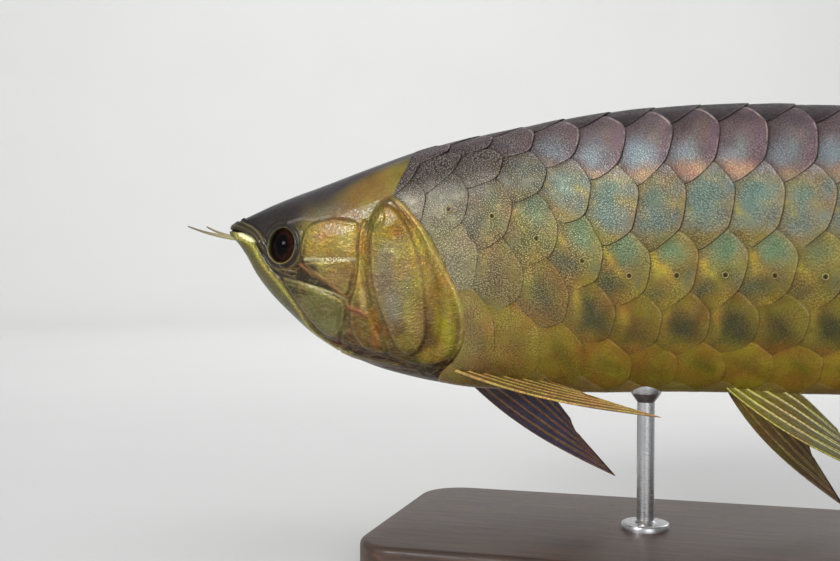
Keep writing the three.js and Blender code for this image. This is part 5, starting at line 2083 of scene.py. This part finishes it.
    def unwrap(self, piece: Piece, cells: list[Cell], shape: Array, size: int) -> None:
        """Gives each scale its own patch of the map, with its underside in the patch's corner.

        Args:
            piece: The joined scales.
            cells: The column and the row of each scale.
            shape: The plate's corners.
            size: How many corners a plate has.
        """
        columns, rows = np.array(cells).T
        wide, tall = np.ptp(columns) + 1, np.ptp(rows) + 1
        index = np.empty(len(piece.data.loops), np.int32)
        piece.data.loops.foreach_get("vertex_index", index)
        cell, corner = index // size, index % size
        x, y, level = shape[corner].T
        totals = np.array([face.loop_total for face in piece.data.polygons])
        owner = np.repeat(np.arange(len(totals)), totals)
        lowest = np.minimum.reduceat(level, np.concatenate([[0], np.cumsum(totals)[:-1]]))[owner]
        reach = 0.03 * np.hypot(x, y) + 0.012 * (1 + level)
        turn = np.arctan2(y, x)
        under = lowest < -0.01
        u = np.where(under, 0.06 + reach * np.cos(turn), 0.5 + 0.48 * x)
        v = np.where(under, 0.06 + reach * np.sin(turn), 0.5 + 0.48 * y)
        u = (columns[cell] - columns.min() + u) / wide
        v = (rows[cell] - rows.min() + v) / tall
        layer = piece.data.uv_layers.new(name="OFBake")
        layer.data.foreach_set("uv", np.stack([u, v], -1).ravel())

    def pore_rings(self, cells: list[Cell], wide: int,
                   chances: dict[Cell, Array]) -> list[Piece]:
        """Makes the raised ring round each pore of the lateral line.

        Args:
            cells: The column and the row of each scale.
            wide: How many columns the scales' map has.
            chances: The random numbers of each scale.

        Returns:
            The rings.
        """
        rings = []
        first = min(column for column, _ in cells)
        for column, row in cells:
            if abs(row) != self.pore_row:
                continue
            a, b = self.pore_place
            s, turn = Lattice.place(Lattice.column(column, row) + a, row + b * np.sign(row))
            if s < head_edge(Body.point(s, turn)[2]) + 3 or s > WEDGE_START - 6:
                continue
            share = float(Lattice.pitch(s)) / Lattice.PITCH
            random = chances[column, row][None]
            rim = self.margin((a - self.middle) / self.half_length, b / self.half_width)
            rise = ROWS[self.pore_row].step * self.tilt(random).item() * a
            rise += self.swell(rim, a, b * np.sign(row), random).item()
            middle = Body.lifted(s, turn, rise * share + 0.05)
            low = (column - first + 0.86) / wide
            shape = ring_points(middle, Body.normal(s, turn), self.pore_radius * share,
                                self.pore_thickness * share)
            none = np.zeros(shape.shape[:2])
            ring_tint = np.broadcast_to(ink((156, 138, 84)), (*none.shape, 4))
            values = {"paint": ring_tint, "chance": none + 0.5, "flat": Body.flat(none + s, none + turn)}
            plain = ("grain", "rim", "fan", "margin_shadow", "margin_highlight", "pore", "shade")
            values |= {name: none for name in plain}
            rings.append(sheet(f"pore_{column}", shape, values, closed_length=True,
                               unwrap=(low, 0.001, low + 0.1 / wide, 0.01)))
        return rings

    def build(self) -> None:
        """Makes the four pieces of the coat: trunk and tail, left and right."""
        shape, faces = self.plate()
        cells = self.cells()
        random = np.random.default_rng(self.seed)
        chances = {cell: random.random(self.draws) for cell in cells}
        finish = ScaleFinish().material()
        for side in Side:
            for stretch in Stretch:
                chosen = []
                for column, row in cells:
                    s, _ = Lattice.place(Lattice.column(column, row), float(row))
                    on_left = row in range(0, SCALE_ROWS)
                    on_trunk = s < self.trunk_end
                    if on_left == (side is Side.LEFT) and on_trunk == (stretch is Stretch.TRUNK):
                        chosen.append((column, row))
                name = f"scales_{stretch.value}_{side.name.lower()}"
                piece = self.lay(name, chosen, shape, faces, chances)
                wide = np.ptp([column for column, _ in chosen]) + 1
                dress(joined([piece, *self.pore_rings(chosen, wide, chances)]), finish)


@dataclass
class Eyes:
    """The two eyeballs, each a fine dome whose iris and pupil are painted by their distance from the axis."""

    steps: int = 40
    corners_around: int = 72

    def build(self) -> None:
        """Makes both eyes."""
        finish = EyeFinish().material()
        for side in Side:
            place = EYES[side]
            polar = np.linspace(0.004, np.pi - 0.004, self.steps)[:, None]
            turn = circle(self.corners_around)[None, :]
            reach = place.radius * np.sin(polar) + 0 * turn
            height = place.radius * np.cos(polar) + 0 * turn
            flatter = 1 - 0.03 * bump(reach - 5.5, 2.0) * (height > 0)
            rings = place.around(reach, turn + 0 * polar, height * flatter)
            name = f"eye_{side.name.lower()}"
            ball = sheet(f"{name}_ball", rings, {"reach": np.where(height > 0, reach, 10.0)})
            dress(ball, finish, (name,))


@dataclass
class Barbels:
    """The two feelers of the chin, which point forward and curl up."""

    station: float = 5.2
    apart: float = 3.4
    height: float = 15.6
    length: float = 25.0
    root_radius: float = 1.25
    tip_radius: float = 0.35
    out: float = 7.0
    rise: float = 5.5
    steps: int = 44
    corners_around: int = 18

    def build(self) -> None:
        """Makes both feelers."""
        finish = BarbelFinish().material()
        for side in Side:
            way = side.value
            start = np.array([self.station + 2, way * (self.apart - 1), self.height - 1])
            half_way = self.station - self.length * 0.5
            bend = np.array([half_way, way * (self.apart + self.out * 0.3), self.height])
            front = self.station - self.length
            tip = np.array([front, way * (self.apart + self.out), self.height + self.rise])
            t = np.linspace(0, 1, self.steps)[:, None]
            path = (1 - t) ** 2 * start + 2 * t * (1 - t) * bend + t**2 * tip
            tangent = np.gradient(path, axis=0)
            tangent /= np.linalg.norm(tangent, axis=1, keepdims=True)
            level = np.cross([0, 0, 1.0], tangent)
            level /= np.linalg.norm(level, axis=1, keepdims=True)
            upright = np.cross(tangent, level)
            radius = mix(self.root_radius, self.tip_radius, t) * np.sqrt(clamp01((1.004 - t) / 0.02))
            turn = circle(self.corners_around)
            rings = (path[:, None] + level[:, None] * (radius * np.cos(turn))[..., None]
                     + upright[:, None] * (radius * np.sin(turn))[..., None])
            share = t + 0 * turn[None, :]
            name = f"barbel_{side.name.lower()}"
            dress(sheet(f"{name}_feeler", rings, {"share": share}), finish, (name,))


@dataclass
class Fin:
    """One fin: a closed sheet, thick along each ray, whose rays branch towards the edge."""

    name: str
    rays: int
    finish: FinFinish
    root_thickness: float
    edge_thickness: float = 0.7
    membrane: float = 0.34
    per_ray: int = 14
    steps: int = 60
    ray_width: float = 0.13
    scallop: float = 0.022
    thinnest: float = 0.13

    def middle(self, t: Array, reach: Array) -> tuple[Array, Array]:
        """Finds points of the fin's middle surface, and the direction across it."""
        raise NotImplementedError

    def ridges(self, t: Array, reach: Array) -> Array:
        """Finds the rays' ridges: single at the root, in two from half way, and in four near the edge.

        Args:
            t: Shares of the way from the first ray to the last.
            reach: Shares of the rays' length.

        Returns:
            The ridges, from 0 on the membrane to 1 on a ray.
        """
        place = t * (self.rays - 1)
        off = place - np.rint(place)
        first = 0.2 * ease(0.38, 1.0, reach)
        second = 0.1 * ease(0.68, 1.1, reach)
        width = self.ray_width * mix(1.0, 0.5, ease(0.2, 1.0, reach))
        ridge = np.zeros(np.broadcast(t, reach).shape)
        for one in (-1, 1):
            for two in (-1, 1):
                ridge = np.maximum(ridge, bump(off - one * first - two * second, width))
        return ridge

    def build(self) -> None:
        """Makes the fin."""
        columns = (self.rays - 1) * self.per_ray + 1
        t = np.linspace(0, 1, columns)[None, :]
        reach = np.linspace(0, 1, self.steps + 1)[:, None]
        ridge = self.ridges(t, reach)
        web = clamp01(ridge * 1.6)
        drawn = reach * (1 - self.scallop * (1 - web) * ease(0.5, 1, reach))
        middle, across = self.middle(t + 0 * reach, drawn)
        thick = mix(self.root_thickness, self.edge_thickness, reach**0.8)
        film = mix(self.membrane * thick, thick * 0.6, reach**3)
        half = np.maximum(self.thinnest, mix(film, thick, ridge) / 2)
        border = np.minimum(np.arange(columns), np.arange(columns)[::-1])
        half = half * np.interp(border, (0, 1, 2, 4), (0.15, 0.6, 0.85, 1.0))[None, :]
        half = half * np.interp(reach, (0, 0.97, 0.99, 1.0), (1, 1, 0.7, 0.15))
        near = middle + across * half[..., None]
        far = middle - across * half[..., None]
        rings = np.concatenate([near, far[:, ::-1]], 1)
        steps = np.linalg.norm(np.diff(middle, axis=0), axis=-1)
        length = np.concatenate([np.zeros((1, columns)), np.cumsum(steps, 0)])
        lane = np.stack([(self.rays - 1) * t + 0 * reach, 0.05 * length, 0 * length, 0 * length + 1], -1)
        marks = {"share": reach + 0 * t, "ray": ridge, "out": length, "lane": lane * MILLI}
        marks = {key: np.concatenate([value, value[:, ::-1]], 1) for key, value in marks.items()}
        piece = sheet(f"{self.name}_rays", rings, marks)
        dress(piece, self.finish.material(), (self.name,))


@dataclass
class MedianFin(Fin):
    """A fin in the mid-plane, along the back or the belly."""

    start: float = 0.0
    end: float = 0.0
    up: int = 1
    sunk: float = 5.0
    length: Table = ()
    lean: Table = ()

    def middle(self, t: Array, reach: Array) -> tuple[Array, Array]:
        """Finds points of the fin's middle surface, and the direction across it.

        Args:
            t: Shares of the way from the first ray to the last.
            reach: Shares of the rays' length.

        Returns:
            The points, and the direction across the surface at each.
        """
        s = mix(self.start, self.end, t)
        edge = along(BACK if self.up > 0 else BELLY, s)
        angle = np.radians(along(self.lean, t) - 9 * reach * reach)
        out = (along(self.length, t) + self.sunk) * reach
        sway = 0.7 * np.sin(9 * t + 2.2 * reach) * reach**2
        z = edge - self.up * self.sunk + self.up * np.sin(angle) * out
        across = np.zeros((*t.shape, 3))
        across[..., 1] = 1
        return np.stack([s + np.cos(angle) * out, sway, z], -1), across


@dataclass
class TailFin(Fin):
    """The rounded tail fin, a fan of rays from the end of the body."""

    spread: float = 46.0
    inner_spread: float = 15.5
    length: float = 72.0

    def middle(self, t: Array, reach: Array) -> tuple[Array, Array]:
        """Finds points of the fin's middle surface, and the direction across it.

        Args:
            t: Shares of the way from the first ray to the last.
            reach: Shares of the rays' length.

        Returns:
            The points, and the direction across the surface at each.
        """
        side = 2 * t - 1
        angle = np.radians(self.spread * side * (0.45 + 0.55 * (1 - reach)))
        out = (self.length * (1 - 0.3 * side**4) + 4) * reach
        root = WEDGE_START + 5 - 2 * side * side
        z = WEDGE_MIDDLE + self.inner_spread * side + np.sin(angle) * out
        sway = 0.8 * np.sin(5 * t + 2 * reach) * reach**2
        across = np.zeros((*t.shape, 3))
        across[..., 1] = 1
        return np.stack([root + np.cos(angle) * out, sway, z], -1), across


@dataclass
class PairedFin(Fin):
    """A fin of a pair: its leading ray bows forward, and the other rays fan out behind it."""

    root: Place = (0, 0, 0)
    tip: Place = (0, 0, 0)
    trail: Place = (0, 0, 0)
    chord: float = 28.0
    root_chord: float = 12.0
    bow: float = 3.0
    droop: float = 3.0
    shorten: float = 0.34

    def middle(self, t: Array, reach: Array) -> tuple[Array, Array]:
        """Finds points of the fin's middle surface, and the direction across it.

        Args:
            t: Shares of the way from the first ray to the last.
            reach: Shares of the rays' length.

        Returns:
            The points, and the direction across the surface at each.
        """
        start = np.array(self.root, float)
        lead = np.array(self.tip, float) - start
        length = np.linalg.norm(lead)
        forward = lead / length
        behind = np.array(self.trail, float)
        behind -= forward * (behind @ forward)
        behind /= np.linalg.norm(behind)
        across = np.cross(forward, behind)
        across /= np.linalg.norm(across)
        out = length * (1 - self.shorten * t**0.8) * reach
        widening = np.sin(np.pi * np.minimum(1, reach * 1.05) ** 0.75) ** 1.1
        spread = mix(self.root_chord, self.chord, widening)
        taper = np.where(reach > 0.85, 1 - (reach - 0.85) * 2.2, 1)
        back = spread * t * taper - self.bow * np.sin(np.pi * reach**0.8)
        lift = self.droop * np.sin(np.pi * reach) * (1 - 0.4 * t)
        points = start + forward * out[..., None] + behind * back[..., None] + across * lift[..., None]
        return points, np.broadcast_to(across, points.shape)


DARK_FIN = FinFinish("dorsal", (56, 48, 44), (78, 60, 48), (96, 76, 52), (134, 98, 58))
GOLD_FIN = FinFinish("anal", (96, 78, 36), (126, 86, 40), (146, 118, 52), (176, 126, 56))
TAIL_TONES = FinFinish("tail", (74, 60, 46), (112, 78, 44), (120, 96, 54), (160, 114, 58))
NEAR_PECTORAL = FinFinish("pectoral_left", (112, 92, 42), (104, 82, 54), (168, 142, 70), (196, 156, 84))
# FAR_PECTORAL and FAR_PELVIC take darker colours than the near fins, as painted shade on the fish's far side.
FAR_PECTORAL = FinFinish("pectoral_right", (78, 62, 54), (74, 74, 100), (126, 88, 56), (152, 108, 70))
NEAR_PELVIC = FinFinish("pelvic_left", (118, 104, 36), (74, 74, 48), (172, 156, 62), (138, 126, 64))
FAR_PELVIC = FinFinish("pelvic_right", (108, 88, 34), (72, 60, 42), (150, 128, 54), (120, 96, 58))


class Fins:
    """All the fins."""

    @staticmethod
    def parts() -> list[Fin]:
        """Lists the fins with their sizes, which are those of the solids.

        Returns:
            The fins.
        """
        dorsal_length = ((0, 20), (0.08, 33), (0.3, 48.8), (0.6, 57.7), (0.85, 53.8), (1, 41))
        anal_length = ((0, 18), (0.06, 31), (0.2, 44), (0.6, 54), (0.85, 51), (1, 38))
        return [
            MedianFin("dorsal_fin", 18, DARK_FIN, 2.2, start=362, end=450, up=1, length=dorsal_length,
                      lean=((0, 58), (0.5, 38), (1, 15))),
            MedianFin("anal_fin", 26, GOLD_FIN, 2.2, start=319, end=456, up=-1, length=anal_length,
                      lean=((0, 64), (0.5, 46), (1, 19)), per_ray=12),
            TailFin("tail_fin", 17, TAIL_TONES, 2.2, per_ray=16),
            PairedFin("pectoral_fin_left", 7, NEAR_PECTORAL, 3.0, per_ray=18, steps=96, root=(112, -9, -45),
                      tip=(220, -62, -58), trail=(0.25, 1, 0.05), bow=3, droop=-3),
            PairedFin("pectoral_fin_right", 7, FAR_PECTORAL, 3.0, per_ray=18, steps=96, root=(113, 8, -46),
                      tip=(187, 50, -105), trail=(0.8, -0.25, 0.55), bow=5, droop=3, shorten=0.3),
            PairedFin("pelvic_fin_left", 6, NEAR_PELVIC, 2.6, per_ray=18, steps=80, root=(240, -4.5, -50),
                      tip=(315, -34, -88), trail=(0.7, 0.6, 0.5), chord=22, root_chord=9, bow=4, droop=-2),
            PairedFin("pelvic_fin_right", 6, FAR_PELVIC, 2.6, per_ray=18, steps=80, root=(240, 4.5, -50),
                      tip=(294, 22, -108), trail=(0.85, -0.3, 0.5), chord=20, root_chord=9, bow=5, droop=2),
        ]

    def build(self) -> None:
        """Makes each fin."""
        for fin in self.parts():
            fin.build()


@dataclass
class Stand:
    """The plain display stand: a wooden base and two steel rods up to the belly."""

    corner_radius: float = 22.0
    corner_steps: int = 14
    bevel: float = 3.0
    bevel_steps: int = 5
    crease_angle: float = 0.6
    rod_radius: float = 4.0
    flange_radius: float = 11.0
    flange_height: float = 3.0
    saddle_radius: float = 7.0
    saddle_height: float = 5.0
    foot_sunk: float = 0.3
    corners_around: int = 64

    @staticmethod
    def bevel_edges(piece: Piece, wanted: Callable[[Vector, Vector], bool], width: float,
                    steps: int) -> None:
        """Rounds the wanted edges of a piece.

        Args:
            piece: The piece.
            wanted: Tells from an edge's two ends whether it is rounded.
            width: The rounding's width in millimetres.
            steps: How many facets it has.
        """
        bpy.context.tool_settings.mesh_select_mode = (False, True, False)
        with editing(piece):
            bpy.ops.mesh.select_all(action="DESELECT")
        mesh = piece.data
        ends = [[mesh.vertices[v].co for v in edge.vertices] for edge in mesh.edges]
        mesh.edges.foreach_set("select", [wanted(*pair) for pair in ends])
        with editing(piece):
            bpy.ops.mesh.bevel(offset=width * MILLI, segments=steps, profile=0.5)
        bpy.context.tool_settings.mesh_select_mode = (True, False, False)

    def base(self) -> None:
        """Makes the base from a block with round corners and a bevelled edge."""
        low, high = (np.array(corner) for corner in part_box("stand_base"))
        middle = tuple((low + high) / 2)
        block = fresh(bpy.ops.mesh.primitive_cube_add, "display_base", size=1, location=middle)
        block.scale = tuple(high - low)
        bpy.ops.object.transform_apply(location=True, rotation=True, scale=True)
        self.bevel_edges(block, lambda a, b: abs(a.z - b.z) > MILLI, self.corner_radius, self.corner_steps)
        self.bevel_edges(block, lambda a, b: min(a.z, b.z) > high[2] - 1e-5, self.bevel, self.bevel_steps)
        bpy.ops.object.shade_smooth_by_angle(angle=self.crease_angle)
        dress(block, WoodFinish().material(), ("stand_base",))

    def rod(self, name: str, finish: Material) -> None:
        """Makes one rod, with a flange at its foot and a saddle under the belly.

        Args:
            name: The node that the rod replaces.
            finish: Its material.
        """
        low, high = (np.array(corner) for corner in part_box(name))
        middle = (low + high) / 2
        foot, top = low[2] - self.foot_sunk * MILLI, high[2]
        belly = top - self.saddle_height * MILLI
        profile = (
            (self.flange_radius, 0),
            (self.flange_radius, self.flange_height - 1),
            (self.flange_radius - 0.3, self.flange_height - 0.4),
            (self.flange_radius - 1, self.flange_height),
            (self.rod_radius + 1, self.flange_height),
            (self.rod_radius, self.flange_height + 1),
        )
        rings = [(radius * MILLI, foot + height * MILLI) for radius, height in profile]
        rings += [
            (self.rod_radius * MILLI, belly - 0.003),
            (self.saddle_radius * MILLI * 0.93, belly + 0.0005),
            (self.saddle_radius * MILLI, belly + 0.0015),
            (self.saddle_radius * MILLI, top),
        ]
        rod = fresh(bpy.ops.mesh.primitive_circle_add, f"{name}_steel", vertices=self.corners_around,
                    radius=rings[0][0], fill_type="NGON", location=(middle[0], middle[1], rings[0][1]))
        with editing(rod):
            bpy.ops.mesh.select_all(action="SELECT")
            for (before, below), (radius, height) in zip(rings, rings[1:]):
                bpy.ops.mesh.extrude_region_move(TRANSFORM_OT_translate={"value": (0, 0, height - below)})
                bpy.ops.transform.resize(value=(radius / before, radius / before, 1),
                                         center_override=(middle[0], middle[1], height))
            bpy.ops.mesh.select_all(action="SELECT")
            bpy.ops.mesh.normals_make_consistent(inside=False)
        bpy.ops.object.transform_apply(location=True, rotation=True, scale=True)
        bpy.ops.object.shade_smooth_by_angle(angle=self.crease_angle)
        dress(rod, finish, (name,))

    def build(self) -> None:
        """Makes the base and both rods."""
        self.base()
        steel = SteelFinish().material()
        for name in ("stand_rod_front", "stand_rod_rear"):
            self.rod(name, steel)


@dataclass
class Studio:
    """The pale floor, the soft lights and the camera."""

    target: Place = (-0.1367, 0.0, 0.1472)
    distance: float = 0.577
    turn: float = 16.5
    tilt: float = 1.84
    lens: float = 51.43
    sensor: float = 36.0
    floor_radius: float = 1.7
    sweep: float = 0.9
    sweep_steps: int = 8
    world_light: float = 0.42
    sky: tuple[float, ...] = (0.9, 0.93, 1.0, 1.0)

    def floor(self) -> None:
        """Makes a round floor that sweeps up far away."""
        floor = fresh(bpy.ops.mesh.primitive_circle_add, "floor", vertices=96, radius=self.floor_radius,
                      fill_type="NGON")
        with editing(floor):
            bpy.ops.mesh.select_all(action="SELECT")
            bpy.ops.mesh.inset(thickness=self.floor_radius * 0.4)
        pick(floor, np.hypot(*corners(floor)[:, :2].T) > self.floor_radius - 0.01)
        with editing(floor):
            radius = self.floor_radius
            for step in range(1, self.sweep_steps + 1):
                angle = step / self.sweep_steps * np.pi / 2
                grown = self.floor_radius + self.sweep * np.sin(angle)
                rise = self.sweep * (np.cos(angle - np.pi / 16) - np.cos(angle + np.pi / 16)) / 0.8
                bpy.ops.mesh.extrude_edges_move()
                bpy.ops.transform.resize(value=(grown / radius, grown / radius, 1), center_override=(0, 0, 0))
                bpy.ops.transform.translate(value=(0, 0, rise))
                radius = grown
        bpy.ops.object.shade_smooth()
        material, shade, shader = new_material("floor", Roughness=0.75)
        at = shade.place()
        cloudy = shade.blend(shade.noise(at, 300, 2), tone(200, 200, 198), tone(206, 206, 204))
        shade.link(cloudy, shader, "Base Color")
        floor.data.materials.append(material)

    @staticmethod
    def light(name: str, place: Place, size: float, power: float, aim_at: Place = (0.0, 0.0, 0.13)) -> None:
        """Hangs one soft light.

        Args:
            name: The light's name.
            place: Where it hangs.
            size: Its width.
            power: Its power in watts.
            aim_at: The place that it faces, which is the fish if none is given.
        """
        lamp = bpy.data.lights.new(name, "AREA")
        lamp.shape = "DISK"
        lamp.size = size
        lamp.energy = power
        holder = bpy.data.objects.new(name, lamp)
        bpy.context.collection.objects.link(holder)
        holder.location = place
        aim = Vector(aim_at) - Vector(place)
        holder.rotation_euler = aim.to_track_quat("-Z", "Y").to_euler()

    def camera(self) -> None:
        """Places the camera at the photograph's angle."""
        turn, tilt = np.radians([self.turn, self.tilt])
        lens = bpy.data.cameras.new("camera")
        lens.lens = self.lens
        lens.sensor_width = self.sensor
        holder = bpy.data.objects.new("camera", lens)
        bpy.context.collection.objects.link(holder)
        spot = Vector(self.target) + Vector((np.sin(turn), -np.cos(turn), 0)) * self.distance
        ahead = Vector((-np.sin(turn) * np.cos(tilt), np.cos(turn) * np.cos(tilt), -np.sin(tilt)))
        holder.location = spot
        holder.rotation_euler = ahead.to_track_quat("-Z", "Y").to_euler()
        bpy.context.scene.camera = holder

    def build(self) -> None:
        """Sets up the floor, the lights and the camera."""
        self.floor()
        self.camera()
        world = bpy.data.worlds.new("studio")
        bpy.context.scene.world = world
        world.use_nodes = True
        sky = world.node_tree.nodes["Background"]
        sky.inputs["Color"].default_value = self.sky
        sky.inputs["Strength"].default_value = self.world_light
        self.light("key", (-0.85, -1.3, 0.8), 0.6, 20)
        self.light("fill", (0.6, -1.4, 0.12), 1.0, 8)
        self.light("top", (0.1, 0.1, 1.6), 1.2, 5)
        self.light("back", (0.6, 1.2, 0.9), 0.8, 4)
        self.light("backdrop", (-0.4, 0.9, 1.5), 1.4, 21, (-0.6, 2.4, 0.2))
        bpy.context.scene.view_settings.view_transform = "Standard"


def main() -> None:
    """Builds the fish, its stand and the studio, and reports each of them."""
    logging.basicConfig(level=logging.INFO, format="%(message)s")
    for part in (Skin(), ScaleCoat(), Eyes(), Barbels(), Fins(), Stand(), Studio()):
        part.build()
        LOG.info("%s is built", type(part).__name__)


if __name__ == "__main__":
    main()
